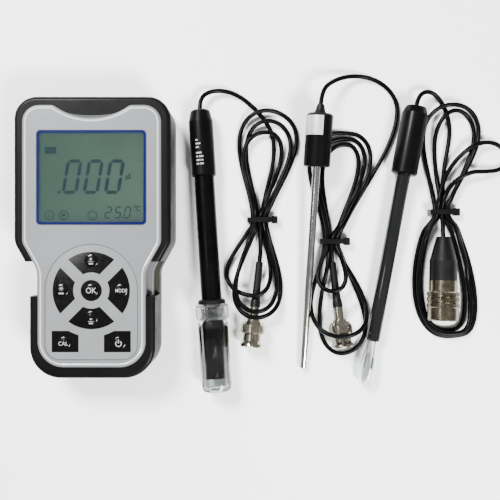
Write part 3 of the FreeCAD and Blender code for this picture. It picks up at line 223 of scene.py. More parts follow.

# %% [markdown]
# A printed film and a sprayed face both get a painted shade where they turn over an edge. The bevel node
# gives a rounded normal near an edge, and where it differs from the true one the colour moves to a second,
# darker tone of painted shade.

# %% Painted edge shade
def painted_edge_shade(material, code, width_mm):
    tree = material.node_tree
    shader = tree.nodes["Principled BSDF"]
    plain = shader.inputs["Base Color"].links[0].from_socket
    rounded = wire(tree, "ShaderNodeBevel", {"Radius": width_mm * MM}, samples=6)
    true = wire(tree, "ShaderNodeNewGeometry", output="Normal")
    alike = wire(tree, "ShaderNodeVectorMath", {0: rounded, 1: true}, output="Value", operation="DOT_PRODUCT")
    tone(tree, shader, map_range(tree, Value=alike, From_Min=0.995, From_Max=0.9), plain, code)


# Painted shade: a darker tone along the edges of the silver face and of the keypad film.
painted_edge_shade(silver_lacquer, "#3C3E40", 0.6)
painted_edge_shade(keypad_film, "#5E6163", 0.5)

# %% [markdown]
# The glass of a reflective liquid crystal display is grey-green. A gradient from left to right paints shade
# on it, darker towards the side that the light comes from, and a grain stands for the reflector behind it.

# %% Display finishes
GLASS_HALF_WIDTH = 31 * MM


def display_glass():
    made, tree, shader = new_finish("reflective_lcd_glass_painted_shade", Roughness=0.35, Specular_IOR_Level=0.0)
    spot = wire(tree, "ShaderNodeTexCoord", output="Object")
    across = wire(tree, "ShaderNodeSeparateXYZ", {"Vector": spot}, output="X")
    # Painted shade: the glass is darker towards the left, the side the light comes from.
    painted_shade_slope = map_range(tree, Value=across, From_Min=-GLASS_HALF_WIDTH, From_Max=GLASS_HALF_WIDTH)
    grain = noise(tree, spot, 0.25, 2.0)
    faint = wire(tree, "ShaderNodeMath", {0: grain, 1: 0.12}, operation="MULTIPLY")
    painted_shade_and_grain = wire(tree, "ShaderNodeMath", {0: painted_shade_slope, 1: grain, 2: faint}, operation="MULTIPLY_ADD")
    tone(tree, shader, painted_shade_and_grain, "#303F39", "#4A5850")
    return made


lcd_glass = display_glass()
lcd_ink = surface("dark_lcd_segment", "#1C282C", "#212D31", 0.4, 0.03, 0.3, 0.002, specular=0.0)
print("display finishes ready")

# %% [markdown]
# The probes are black ABS with a satin skin, over a black epoxy tube, a stainless rod and a dark smoky tube.
# Their plugs are brass with nickel plate. Turned metal keeps very fine marks that run round the part, so its
# grain is squeezed along the part's length.

# %% Probe, plug and cable finishes
probe_abs = surface("satin_black_abs", "#030303", "#060606", 0.36, 0.05, 0.25, 0.012, patch_mm=9.0, **SATIN)
epoxy_tube = surface("black_epoxy_electrode_tube", "#020202", "#040404", 0.3, 0.05, 0.5, 0.01, patch_mm=10.0,
                     **SATIN)
soft_seal = surface("soft_black_silicone", "#040404", "#080808", 0.5, 0.06, 0.3, 0.02, specular=0.12,
                    **SKIN)
smoky_tube = surface("polished_smoky_tube", "#0C0D0E", "#131415", 0.12, 0.04, 4.0, 0.003, patch_mm=12.0,
                     coat=0.5, coat_rough=0.05)
steel_rod = surface("polished_stainless_rod", "#C4C3C0", "#B4B3B0", 0.14, 0.04, 0.9, 0.0012, patch_mm=8.0,
                    stretch=(1, 6, 1), metal=1.0)
nickel = surface("nickel_plated_brass", "#B8B2A3", "#A09A8A", 0.17, 0.06, 0.5, 0.012, patch_mm=3.0,
                 stretch=(1, 5, 1), metal=1.0)
dull_nickel = surface("turned_nickel_ring", "#7E7867", "#686252", 0.22, 0.06, 0.4, 0.02, patch_mm=3.0,
                      stretch=(1, 7, 1), metal=1.0)
cable_pvc = surface("black_pvc_cable_jacket", "#020202", "#050505", 0.34, 0.06, 0.7, 0.003, patch_mm=8.0,
                    specular=0.05, coat=0.02, coat_rough=0.2)
tie_nylon = surface("black_nylon_tie", "#030303", "#060606", 0.38, 0.05, 0.4, 0.02, specular=0.12,
                    **SKIN)
clear_styrene = clear_finish("clear_moulded_polystyrene", "#F3F7F8", 0.05, 1.46, 3.0, 0.05)
frosted_styrene = clear_finish("frosted_moulded_polystyrene", "#FAFCFC", 0.2, 1.45, 1.0, 0.03)
storage_liquid = clear_finish("clear_storage_liquid", "#F6F8F4", 0.01, 1.34, 12.0, 0.02)
lab_glass = clear_finish("clear_borosilicate_glass", "#F4F8F7", 0.03, 1.38, 5.0, 0.03)
label_foil = surface("silver_label_foil", "#C6C8C9", "#D2D4D4", 0.3, 0.05, 0.5, 0.006, metal=0.55)
platinum = surface("platinised_electrode", "#6F7072", "#828385", 0.5, 0.05, 0.3, 0.02, metal=0.8)
silver_wire = surface("drawn_silver_wire", "#C9C7C2", "#B8B6B0", 0.25, 0.05, 0.3, 0.005, metal=1.0)
print("probe finishes ready")

# %% [markdown]
# Inside the case are the board, its chips, the battery cells and their springs, and the switches. They show
# only when the case is opened or cut, but each still has what it is made of.

# %% Inner finishes
board_mask = surface("green_solder_mask", "#14552E", "#0F4726", 0.35, 0.05, 1.2, 0.02, patch_mm=2.0)
chip_epoxy = surface("moulded_chip_epoxy", "#17181A", "#202123", 0.6, 0.05, 0.2, 0.02)
tin_plate = surface("tin_plated_spring_steel", "#B9BABA", "#A5A6A7", 0.3, 0.06, 0.3, 0.01, metal=1.0)
zinc_steel = surface("zinc_plated_screw", "#9FA0A3", "#8B8C8E", 0.34, 0.06, 0.3, 0.02, metal=1.0)
cell_sleeve = surface("shrink_wrapped_battery_sleeve", "#34363B", "#41444A", 0.3, 0.05, 0.8, 0.01)
socket_pbt = surface("black_pbt_socket_block", "#121213", "#1A1A1B", 0.5, 0.05, 0.3, 0.03)
ptfe = surface("white_ptfe_insulator", "#E3E3DF", "#D8D8D3", 0.45, 0.05, 0.3, 0.01)
print("inner finishes ready")

# %% Dress the solid pieces
FINISH_OF = {
    silver_lacquer: ["front_cover"],
    grey_abs: ["back_cover", "battery_door"],
    grip_rubber: ["upper_grip", "lower_grip"],
    window_acrylic: ["display_window"],
    lcd_glass: ["lcd_panel"],
    keypad_film: ["keypad_overlay"],
    key_epoxy: ["ok_key", "up_key", "down_key", "left_key", "mode_key", "calibrate_key", "power_key"],
    tin_plate: ["dome_switches", "battery_contacts"],
    board_mask: ["circuit_board"],
    chip_epoxy: ["board_chips", "temp_thermistor"],
    cell_sleeve: ["batteries"],
    zinc_steel: ["case_screws"],
    socket_pbt: ["socket_block", "cell_plug_insert"],
    nickel: ["bnc_sockets", "cell_socket", "ph_plug_collar", "ph_plug_body", "temp_plug_collar",
             "temp_plug_body"],
    dull_nickel: ["cell_plug_nut", "cell_plug_shell"],
    ptfe: ["ph_plug_core", "temp_plug_core"],
    probe_abs: ["ph_cap", "ph_handle", "temp_handle", "cell_cap", "cell_handle"],
    epoxy_tube: ["ph_body_tube"],
    soft_seal: ["ph_seal_ring", "temp_strain_relief", "ph_plug_boot", "temp_plug_boot", "cell_plug_boot"],
    clear_styrene: ["ph_bottle_nut", "ph_bottle"],
    lab_glass: ["ph_glass_electrode", "cell_glass_tip"],
    silver_wire: ["ph_silver_wires"],
    steel_rod: ["temp_rod"],
    smoky_tube: ["cell_body_tube"],
    platinum: ["cell_platinum_plates"],
    cable_pvc: [f"{p}_cable_{k}" for p in ("ph", "temp", "cell") for k in ("lead", "hank")],
    tie_nylon: ["cable_ties"],
}
for material, names in FINISH_OF.items():
    for name in names:
        slots = nodes[name].material_slots
        if slots:
            for slot in slots:
                slot.link = "OBJECT"
                slot.material = material
        else:
            nodes[name].data.materials.append(material)
print("dressed", sum(len(v) for v in FINISH_OF.values()), "of", len(nodes))

# %% [markdown]
# ## Frames along the probes and plugs
# Each probe lies at its own angle on the bench. The record gives a point and a direction for each of them,
# and from those a matrix turns "so far along, so far out" into a place on the bench.

# %% Local frames
MOUNTS = {m["name"]: m for m in record["mounts"]}


def along_frame(mount, at_mm):
    """Local X across the bench, Y along the piece and Z up, from a mount that lies at_mm along it."""
    axis = -Vector(MOUNTS[mount]["axis"]).normalized()
    across = axis.cross(Vector((0, 0, 1))).normalized()
    up = across.cross(axis)
    origin = Vector(MOUNTS[mount]["pos_m"]) - axis * at_mm * MM
    turn = Matrix((across, axis, up)).transposed().to_4x4()
    return Matrix.Translation(origin) @ turn


PH, TEMP = along_frame("ph_shaft", 95), along_frame("temp_rod_shaft", 62.6)
PH_PLUG, TEMP_PLUG, CELL_PLUG = (along_frame(f"{name}_plug_mouth", 0) for name in ("ph", "temp", "cell"))
print("pH probe starts at", [round(v * 1000, 1) for v in PH.translation])

# %% [markdown]
# ## Making a piece from lists
# A printed mark or a moulded wall is easiest as lists of corners and faces in millimetres. One function
# turns them into an object at the origin, gives it its finish and lets it ride on its body.

# %% Mesh helpers
def piece(name, points, faces, finish, body, place=None, smooth=False, slot=None, outward=False):
    """A mesh from corners in millimetres, laid by a matrix in metres."""
    mesh = bpy.data.meshes.new(name)
    mesh.from_pydata([tuple(c * MM for c in p) for p in points], [], faces)
    if place is not None:
        mesh.transform(place)
    if outward:
        work = bmesh.new()
        work.from_mesh(mesh)
        closed(work, mesh, 1e-7)
    mesh.materials.append(finish)
    shade(mesh, smooth)
    made = placed(name, mesh)
    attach(made, body)
    return made


def prism(outlines, low, high):
    """Corners and faces of flat shapes, each given as a loop of (x, y), between two heights."""
    points, faces = [], []
    for loop in outlines:
        start, count = len(points), len(loop)
        points += [(x, y, low) for x, y in loop] + [(x, y, high) for x, y in loop]
        faces.append(tuple(start + count + i for i in range(count)))
        faces.append(tuple(start + count - 1 - i for i in range(count)))
        for i in range(count):
            j = (i + 1) % count
            faces.append((start + i, start + j, start + count + j, start + count + i))
    return points, faces


def arc(x, y, radius, start, stop, steps):
    """Points on an arc from one angle to another, in degrees, with both ends."""
    turns = [math.radians(start + (stop - start) * i / steps) for i in range(steps + 1)]
    return [(x + radius * math.cos(turn), y + radius * math.sin(turn)) for turn in turns]


def ring_loop(x, y, radius, steps=28):
    return arc(x, y, radius, 0, 360, steps)[:-1]


def box_loop(x0, y0, x1, y1):
    return [(x0, y0), (x1, y0), (x1, y1), (x0, y1)]


def rounded_loop(half_x, half_y, radius, y=0.0, steps=8):
    reach_x, reach_y, loop = half_x - radius, half_y - radius, []
    for side_x, side_y, first in ((1, 1, 0), (-1, 1, 90), (-1, -1, 180), (1, -1, 270)):
        loop += arc(side_x * reach_x, y + side_y * reach_y, radius, first, first + 90, steps)
    return loop


def band(outer, inner, low, high):
    """A closed flat band between two loops of equal length."""
    count = len(outer)
    rows = ((outer, low), (inner, low), (outer, high), (inner, high))
    points = [(x, y, z) for loop, z in rows for x, y in loop]
    a, b, c, d = (k * count for k in range(4))
    faces = []
    for i in range(count):
        j = (i + 1) % count
        faces += [(c + i, c + j, d + j, d + i), (a + i, b + i, b + j, a + j),
                  (a + i, a + j, c + j, c + i), (b + i, d + i, d + j, b + j)]
    return points, faces


# %% [markdown]
# ## The raised line round the face
# A fine bead runs round the silver face just inside its edge, and it catches the light; its pale colour is a
# painted highlight. Its path is the outline of the face's flat top, found on the solid model, and moved
# inward; the bead has a low three-sided section.

# %% Outline of a flat top
def top_outline(node):
    """The longest loop round a node's highest flat face, in millimetres, as (x, y) and its height."""
    work = bmesh.new()
    work.from_mesh(nodes[node].data)
    work.transform(nodes[node].matrix_world)
    bmesh.ops.remove_doubles(work, verts=work.verts, dist=1e-6)
    top = max(v.co.z for v in work.verts)
    flat = {f for f in work.faces if all(v.co.z > top - 2e-5 for v in f.verts)}
    nexts = {}
    for edge in work.edges:
        if sum(f in flat for f in edge.link_faces) == 1:
            a, b = edge.verts
            nexts.setdefault(a.index, []).append(b.index)
            nexts.setdefault(b.index, []).append(a.index)
    work.verts.ensure_lookup_table()
    loops, seen = [], set()
    for first in nexts:
        if first in seen:
            continue
        loop, at = [first], first
        seen.add(first)
        while True:
            ahead = [n for n in nexts[at] if n not in seen]
            if not ahead:
                break
            at = ahead[0]
            seen.add(at)
            loop.append(at)
        loops.append([Vector((work.verts[i].co.x / MM, work.verts[i].co.y / MM)) for i in loop])
    work.free()
    length = lambda loop: sum((b - a).length for a, b in zip(loop, loop[1:] + loop[:1]))
    return max(loops, key=length), top / MM


def moved_in(loop, by):
    """The loop moved inward by a distance."""
    area = sum(a.x * b.y - b.x * a.y for a, b in zip(loop, loop[1:] + loop[:1]))
    way = 1 if area > 0 else -1
    out = []
    for i, p in enumerate(loop):
        run = (loop[(i + 1) % len(loop)] - p).normalized() + (p - loop[i - 1]).normalized()
        run = run.normalized() if run.length > 1e-6 else Vector((1, 0))
        out.append(p + Vector((-run.y, run.x)) * by * way)
    return out


face_loop, face_top = top_outline("front_cover")
BEAD_OUT, BEAD_RIDGE, BEAD_IN = 0.35, 0.75, 1.25
BEAD_SUNK, BEAD_HIGH = -0.02, 0.16
rows = [(moved_in(face_loop, by), face_top + rise)
        for by, rise in ((BEAD_OUT, BEAD_SUNK), (BEAD_RIDGE, BEAD_HIGH), (BEAD_IN, BEAD_SUNK))]
count = len(face_loop)
bead_points = [(p.x, p.y, z) for loop, z in rows for p in loop]
bead_faces = [(a * count + i, a * count + (i + 1) % count, b * count + (i + 1) % count, b * count + i)
              for a, b in ((0, 1), (1, 2), (2, 0)) for i in range(count)]
# The pale lacquer of the bead is a painted highlight.
bead_painted_highlight = surface("pale_painted_highlight_lacquer", "#A4A7A8", "#ADB0B1", 0.3, 0.05, 0.25, 0.004, coat=0.4)
piece("face_edge_bead", bead_points, bead_faces, bead_painted_highlight, ROOT, slot="case_silver", outward=True)
print("face outline", count, "corners at", round(face_top, 2))

# %% [markdown]
# Below the thumb notch the face steps down to the rubber in a narrow grey ledge, widest in the middle.

# %% Notch ledge
notch_low = min(p.y for p in face_loop if abs(p.x) < 3 and p.y > 50)
NOTCH_R, NOTCH_HALF, LEDGE_END, LEDGE_SWELL = 36.4, 19, 0.15, 2.3
above_ledge = Vector((0, (notch_low + 1.6) * MM, 0.1))
hit = bpy.context.scene.ray_cast(bpy.context.evaluated_depsgraph_get(), above_ledge, Vector((0, 0, -1)))
ledge_z = hit[1].z / MM if hit[0] else face_top - 1
low_side, high_side = [], []
for x in np.linspace(-NOTCH_HALF, NOTCH_HALF, 33):
    y = notch_low + NOTCH_R - math.sqrt(NOTCH_R ** 2 - x * x) + 0.02
    low_side.append((float(x), y))
    high_side.append((float(x), y + LEDGE_END + LEDGE_SWELL * (1 - (x / NOTCH_HALF) ** 2)))
count = len(low_side)
top_low, top_high = max(ledge_z + 0.35, min(face_top - 0.4, ledge_z + 0.9)), ledge_z + 0.06
below = ledge_z - 0.2
sides = ((low_side, top_low), (high_side, top_high), (low_side, below), (high_side, below))
ledge = [(x, y, z) for side, z in sides for x, y in side]
ledge_faces = [(0, count, 3 * count, 2 * count), (count - 1, 3 * count - 1, 4 * count - 1, 2 * count - 1)]
for i in range(count - 1):
    for a, b in ((0, 1), (1, 3), (3, 2), (2, 0)):
        ledge_faces.append((a * count + i, a * count + i + 1, b * count + i + 1, b * count + i))
ledge_paint = surface("shaded_grey_lacquer", "#3A3C3E", "#424446", 0.36, 0.05, 0.25, 0.006, coat=0.2)
piece("notch_ledge", ledge, ledge_faces, ledge_paint, ROOT, slot="case_silver", outward=True)
print("ledge at", round(ledge_z, 2), "below the face at", round(face_top, 2))

# %% [markdown]
# ## The display's border
# The window is printed near its edge with a narrow blue line. The display's reflective film is bonded to the
# back of the window, so it shows right up to that line. Both are thin flat shapes with rounded corners.

# %% Window print
window = [v * 1000 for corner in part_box("display_window") for v in corner]
win_x, win_y = (window[3] - window[0]) / 2, (window[4] - window[1]) / 2
win_mid, win_top = (window[4] + window[1]) / 2, window[5]
INK_OUT, INK_IN, FILM_IN, FILM_THICK = 0.1, 1.25, 0.3, 0.03
border = band(rounded_loop(win_x - INK_OUT, win_y - INK_OUT, 2.2, y=win_mid),
              rounded_loop(win_x - INK_IN, win_y - INK_IN, 1.5, y=win_mid), win_top + 0.002, win_top + 0.03)
piece("window_blue_border", *border, blue_ink, ROOT, slot="window_clear")
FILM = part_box("display_window")[0][2] * 1000 + 0.005
film = prism([rounded_loop(win_x - FILM_IN, win_y - FILM_IN, 1.9, y=win_mid)], FILM, FILM + FILM_THICK)
piece("display_film", *film, lcd_glass, ROOT, slot="lcd")
print("window", round(2 * win_x, 1), "x", round(2 * win_y, 1), "mm")

# %% [markdown]
# ## What the display shows
# A seven-segment figure is seven bars with pointed ends. One function draws the bars of a figure inside a
# leaning box, and the same function serves the large reading and the small temperature.

# %% Seven-segment figures
LIT = {"0": "abcdef", "2": "abged", "5": "afgcd"}
LCD_TOP = FILM + FILM_THICK
INK = (LCD_TOP + 0.01, LCD_TOP + 0.05)


def figure(sign, x, y, wide, tall, bar, lean=0.17):
    """The lit bars of one figure whose lower left corner is at (x, y)."""
    half = tall / 2
    ends = {"a": ((0, tall), (wide, tall)), "g": ((0, half), (wide, half)), "d": ((0, 0), (wide, 0)),
            "f": ((0, half), (0, tall)), "b": ((wide, half), (wide, tall)),
            "e": ((0, 0), (0, half)), "c": ((wide, 0), (wide, half))}
    loops = []
    for name in LIT[sign]:
        (x0, y0), (x1, y1) = ends[name]
        run = Vector((x1 - x0, y1 - y0))
        unit = run.normalized()
        side = Vector((-unit.y, unit.x)) * bar / 2
        gap, point = unit * bar * 0.16, unit * bar / 2
        first, last = Vector((x0, y0)) + gap, Vector((x1, y1)) - gap
        shape = [first, first + point - side, last - point - side, last, last - point + side,
                 first + point + side]
        loops.append([(x + p.x + lean * p.y, y + p.y) for p in shape])
    return loops


marks = []
for x in (-16.4, -4.2, 8.0):
    marks += figure("0", x, 25.9, 7.3, 18.0, 2.0)
marks += [ring_loop(-18.8, 26.0, 0.9)]
for x, sign in ((7.6, "2"), (13.2, "5"), (18.6, "0")):
    marks += figure(sign, x, 11.2, 3.0, 6.2, 0.8)
marks += [ring_loop(17.4, 11.3, 0.45)]
marks += [box_loop(-27.0, 48.1, -20.3, 52.0)]
piece("display_reading", *prism(marks, *INK), lcd_ink, ROOT, slot="lcd")
LEFT_SIGN, MID_SIGN, FACE_SIGN, SIGN_Y = -24.3, -16.1, 0.4, 12.7
for i, x in enumerate((LEFT_SIGN, MID_SIGN, FACE_SIGN)):
    ring = band(ring_loop(x, SIGN_Y, 2.8), ring_loop(x, SIGN_Y, 2.3), *INK)
    piece(f"display_round_sign_{i}", *ring, lcd_ink, ROOT, slot="lcd")
eyes = [ring_loop(FACE_SIGN + x, SIGN_Y + 0.8, 0.28, 12) for x in (-1.0, 1.0)]
smile = arc(FACE_SIGN, SIGN_Y - 0.1, 1.4, 207, 333, 11) + arc(FACE_SIGN, SIGN_Y - 0.1, 1.15, 333, 207, 11)
piece("display_smile", *prism(eyes + [smile], *INK), lcd_ink, ROOT, slot="lcd")
print("display marks", len(marks))

# %% [markdown]
# ## Words and signs
# A word becomes a text object, then a plain mesh. Its small faces are divided so that it can lie on a domed
# key instead of floating over it: each corner takes the height of the dome below it.

# %% Text as a mesh
def word(name, text, x, y, height, body, finish, lie, bold=1.0, slot=None, thick=0.03, narrow=1.0):
    """A word centred at (x, y); lie gives the surface's height at a place, and bold thickens the strokes."""
    curve = bpy.data.curves.new(name + "_text", "FONT")
    curve.body, curve.size, curve.align_x, curve.align_y = text, height, "CENTER", "CENTER"
    curve.offset = 0.004 * height * bold
    made = placed(name + "_text", curve)
    flat = frozen(made)
    bpy.data.objects.remove(made)
    work = bmesh.new()
    work.from_mesh(flat)
    bmesh.ops.remove_doubles(work, verts=work.verts, dist=1e-5)
    bmesh.ops.subdivide_edges(work, edges=work.edges, cuts=2, use_grid_fill=True)
    bmesh.ops.triangulate(work, faces=work.faces)
    for v in work.verts:
        px, py = x + v.co.x * narrow, y + v.co.y
        v.co = Vector((px, py, lie(px, py) + thick))
    work.to_mesh(flat)
    work.free()
    points = [tuple(v.co) for v in flat.vertices]
    faces = [tuple(f.vertices) for f in flat.polygons]
    low = [(px, py, pz - thick - 0.05) for px, py, pz in points]
    edges = dict.fromkeys((a, b) for f in faces for a, b in zip(f, f[1:] + f[:1]))
    count = len(points)
    walls = [(a, a + count, b + count, b) for a, b in edges if (b, a) not in edges]
    faces = faces + [tuple(count + i for i in reversed(f)) for f in faces] + walls
    return piece(name, points + low, faces, finish, body, slot=slot, outward=True)


for name, text, x, y, tall, bold, narrow in (
        ("unit", "µS", 21.0, 35.0, 4.2, 8, 0.8), ("degree", "°C", 26.1, 16.4, 4.2, 6, 0.8),
        ("sign_left", "L", LEFT_SIGN, SIGN_Y, 3.0, 1, 1), ("sign_mid", "M", MID_SIGN, SIGN_Y, 3.0, 1, 1)):
    word(f"display_{name}", text, x, y, tall, ROOT, lcd_ink, lambda px, py: INK[0], bold=bold, slot="lcd",
         narrow=narrow)
print("display words set")

# %% Key legends
DOME_R, DOME_H = 4.0, 0.8
KEY_AT = {"ok_key": (0, -30.6), "up_key": (0, -13.5), "down_key": (0, -47.7), "left_key": (-17.1, -30.6),
          "mode_key": (17.1, -30.6), "calibrate_key": (-15.8, -60.9), "power_key": (15.8, -60.9)}
PLATE_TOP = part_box("ok_key")[1][2] * 1000 - DOME_H + 0.05


def on_key(key):
    """The height of a key's plate and dome at a place."""
    cx, cy = KEY_AT[key]

    def lie(px, py):
        out = math.hypot(px - cx, py - cy) / DOME_R
        return PLATE_TOP + max(DOME_H * math.sqrt(max(0.0, 1 - out * out)) - 0.05, 0.0)
    return lie


for key, text, dx, dy, tall, narrow in (
        ("ok_key", "OK", 0, -0.1, 4.6, 0.9), ("mode_key", "MODE", 0.2, -0.1, 2.9, 0.85),
        ("calibrate_key", "CAL", -0.2, -0.2, 3.2, 0.95)):
    cx, cy = KEY_AT[key]
    word(f"{key}_word", text, cx + dx, cy + dy, tall, key, white_ink, on_key(key), bold=0.7, slot="key_black",
         narrow=narrow)
print("key words on a plate at", round(PLATE_TOP, 2))


# %% [markdown]
# The other keys carry simple signs: an arrow over a bar on the two arrow keys, a lamp with rays over a bar
# on the left key, and the usual broken ring on the power key. A sign is made of short flat pieces, so that
# it bends with the dome as the words do.

# %% Key signs
def arc_band(x, y, outer, inner, start, stop, steps=3):
    return arc(x, y, outer, start, stop, steps) + arc(x, y, inner, stop, start, steps)


def bar_pieces(x, y, length, thick, count=6):
    """A level bar cut into short pieces."""
    edges = [x - length / 2 + i * length / count for i in range(count + 1)]
    return [box_loop(a, y - thick / 2, b, y + thick / 2) for a, b in zip(edges, edges[1:])]


def spoke(x, y, near, far, half, degrees):
    """A short straight mark that points away from (x, y)."""
    ux, uy = math.cos(math.radians(degrees)), math.sin(math.radians(degrees))
    return [(x + r * ux - w * uy, y + r * uy + w * ux)
            for r, w in ((near, half), (near, -half), (far, -half), (far, half))]


def sign(name, strips, key):
    lie = on_key(key)
    points, faces = prism(strips, 0.0, 1.0)
    points = [(x, y, lie(x, y) + (0.04 if z > 0.5 else -0.05)) for x, y, z in points]
    piece(name, points, faces, white_ink, key, slot="key_black", outward=True)


for key, way in (("up_key", 1), ("down_key", -1)):
    cx, cy = KEY_AT[key]
    tip, base = cy + 1.0 + 0.9 * way, cy + 1.0 - 0.1 * way
    head = [(cx, tip), (cx - 0.85 * way, base), (cx + 0.85 * way, base)]
    shaft = [(cx - 0.16 * way, base), (cx + 0.16 * way, base), (cx + 0.16 * way, base - 0.9 * way),
             (cx - 0.16 * way, base - 0.9 * way)]
    sign(f"{key}_arrow", [head, shaft[::-1]], key)
    sign(f"{key}_bar", bar_pieces(cx, cy - 0.55, 3.4, 0.2) + bar_pieces(cx, cy - 1.7, 2.4, 0.7), key)
cx, cy = KEY_AT["left_key"]
lamp_y = cy + 1.2
lamp = [arc_band(cx, lamp_y, 0.6, 0.35, 45 * i, 45 * i + 45) for i in range(8)]
rays = [spoke(cx, lamp_y, 0.85, 1.4, 0.1, 45 * i) for i in range(8)]
sign("left_key_lamp", lamp + rays, "left_key")
sign("left_key_bar", bar_pieces(cx, cy - 1.6, 3.0, 0.75), "left_key")
cx, cy = KEY_AT["power_key"]
broken = [arc_band(cx, cy - 0.1, 1.9, 1.4, -235 + 29 * i, -206 + 29 * i) for i in range(10)]
stroke = [box_loop(cx - 0.27, cy + 0.1 + 0.7 * i, cx + 0.27, cy + 0.8 + 0.7 * i) for i in range(3)]
sign("power_sign", broken + stroke, "power_key")
print("signs set on", len(KEY_AT), "keys")

# %% [markdown]
# ## The clear bottle
# The pH electrode is kept in a moulded bottle of storage liquid. Six wide flutes run down its wall, so that
# wet fingers can grip it. The wall is spun from its cut shape, and a geometry tree pushes each corner in or
# out along its own radius: one sine wave round the bottle makes every flute, and their number is one input.

# %% Spun shapes
def spun(name, profile, steps):
    """A closed mesh in millimetres: (radius, along) corners turned round local Y."""
    mesh = bpy.data.meshes.new(name)
    work = bmesh.new()
    rings = []
    for radius, along in profile:
        rings.append([work.verts.new((x, along, z)) for x, z in ring_loop(0, 0, radius, steps)])
    for low, high in zip(rings, rings[1:] + rings[:1]):
        for i in range(steps):
            work.faces.new((low[i], low[(i + 1) % steps], high[(i + 1) % steps], high[i]))
    closed(work, mesh, 1e-4)
    return mesh


def fine(profile, step):
    """The same cut shape with more corners on its long sides."""
    out = []
    for (r0, y0), (r1, y1) in zip(profile, profile[1:] + profile[:1]):
        parts = max(1, round(math.hypot(r1 - r0, y1 - y0) / step))
        out += [(r0 + (r1 - r0) * i / parts, y0 + (y1 - y0) * i / parts) for i in range(parts)]
    return out


def tree_with(name, inputs):
    """A geometry tree with named number inputs: (tree, its inputs by name, a maker of maths nodes)."""
    tree = bpy.data.node_groups.new(name, "GeometryNodeTree")
    face = tree.interface
    face.new_socket("Geometry", in_out="OUTPUT", socket_type="NodeSocketGeometry")
    face.new_socket("Geometry", in_out="INPUT", socket_type="NodeSocketGeometry")
    for label, kind in inputs.items():
        face.new_socket(label, in_out="INPUT", socket_type="NodeSocket" + kind)
    give = {s.name: s for s in add_node(tree, "NodeGroupInput").outputs}

    def maths(kind, a, b=0.0):
        return wire(tree, "ShaderNodeMath", {0: a, 1: b}, operation=kind)

    return tree, give, maths


def end_tree(tree, geometry, finish):
    """Makes the instances real, sets their material and hands the result out."""
    real = wire(tree, "GeometryNodeRealizeInstances", {"Geometry": geometry})
    coat = wire(tree, "GeometryNodeSetMaterial", {"Geometry": real, "Material": finish})
    add_node(tree, "NodeGroupOutput", {"Geometry": coat})
    return tree


def grown(name, mesh, tree, values, place, body, smooth=True):
    """Runs a geometry tree on a mesh, keeps the result as a plain mesh and lays it by a matrix."""
    made = placed(name, mesh)
    step = made.modifiers.new("grow", "NODES")
    step.node_group = tree
    ids = {i.name: i.identifier for i in tree.interface.items_tree if i.in_out == "INPUT"}
    for label, value in values.items():
        step[ids[label]] = value
    result = frozen(made)
    made.modifiers.remove(step)
    made.data = result
    result.transform(Matrix.Scale(MM, 4))
    result.transform(place)
    shade(result, smooth)
    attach(made, body)
    return made


# %% Fluting tree
FADE_MM = 1.5


def fluting_tree(finish):
    labels = ("Count", "Depth", "Inner radius", "Start", "End")
    tree, give, maths = tree_with("flutes", dict.fromkeys(labels, "Float"))
    where = wire(tree, "GeometryNodeInputPosition")
    x, y, z = add_node(tree, "ShaderNodeSeparateXYZ", {"Vector": where}).outputs
    wave = maths("COSINE", maths("MULTIPLY", maths("ARCTAN2", z, x), give["Count"]))
    flat = wire(tree, "ShaderNodeCombineXYZ", {"X": x, "Z": z})
    radius = wire(tree, "ShaderNodeVectorMath", {0: flat}, output="Value", operation="LENGTH")
    outside = maths("GREATER_THAN", radius, give["Inner radius"])

    def fade(edge, kind):
        return map_range(tree, Value=y, From_Min=edge, From_Max=maths(kind, edge, FADE_MM))

    ends = maths("MULTIPLY", fade(give["Start"], "ADD"), fade(give["End"], "SUBTRACT"))
    size = maths("MULTIPLY", maths("MULTIPLY", wave, give["Depth"]), maths("MULTIPLY", outside, ends))
    way = wire(tree, "ShaderNodeVectorMath", {0: flat}, operation="NORMALIZE")
    move = wire(tree, "ShaderNodeVectorMath", {0: way, "Scale": size}, operation="SCALE")
    put = wire(tree, "GeometryNodeSetPosition", {"Geometry": give["Geometry"], "Offset": move})
    return end_tree(tree, put, finish)


clear_flutes, frosted_ribs = fluting_tree(clear_styrene), fluting_tree(frosted_styrene)
bottle_cut = [(0.01, 0), (7.4, 0), (8.2, 0.4), (8.6, 1.4), (8.6, 43.0), (7.7, 43.0), (7.7, 49.8), (6.6, 49.8),
              (6.6, 41.4), (7.6, 39.4), (7.6, 2.4), (6.6, 1.2), (0.01, 1.2)]
bottle = grown("fluted_bottle", spun("bottle_wall", fine(bottle_cut, 1.2), 240), clear_flutes,
               {"Count": 6.0, "Depth": 0.5, "Inner radius": 8.3, "Start": 2.2, "End": 41.5}, PH, "ph_bottle")
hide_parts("ph_bottle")
nut_cut = [(7.85, 43.4), (9.25, 43.4), (9.75, 44.2), (9.75, 51.9), (9.05, 52.8), (7.0, 52.8), (7.0, 51.2),
           (7.85, 51.2)]
nut = grown("ribbed_bottle_nut", spun("nut_wall", fine(nut_cut, 0.8), 288), frosted_ribs,
            {"Count": 40.0, "Depth": 0.28, "Inner radius": 9.2, "Start": 43.6, "End": 52.2}, PH,
            "ph_bottle_nut")
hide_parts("ph_bottle_nut")
liquid = spun("storage_liquid", [(0.01, 1.18), (6.62, 1.18), (7.62, 2.4), (7.62, 39.2), (6.1, 39.2),
                                 (6.1, 8.1), (0.01, 8.1)], 96)
liquid.transform(PH @ Matrix.Scale(MM, 4))
liquid.materials.append(storage_liquid)
shade(liquid, True)
filling = placed("storage_liquid", liquid)
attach(filling, "ph_bottle")
print("flutes", len(bottle.data.polygons), "faces, nut", len(nut.data.polygons))

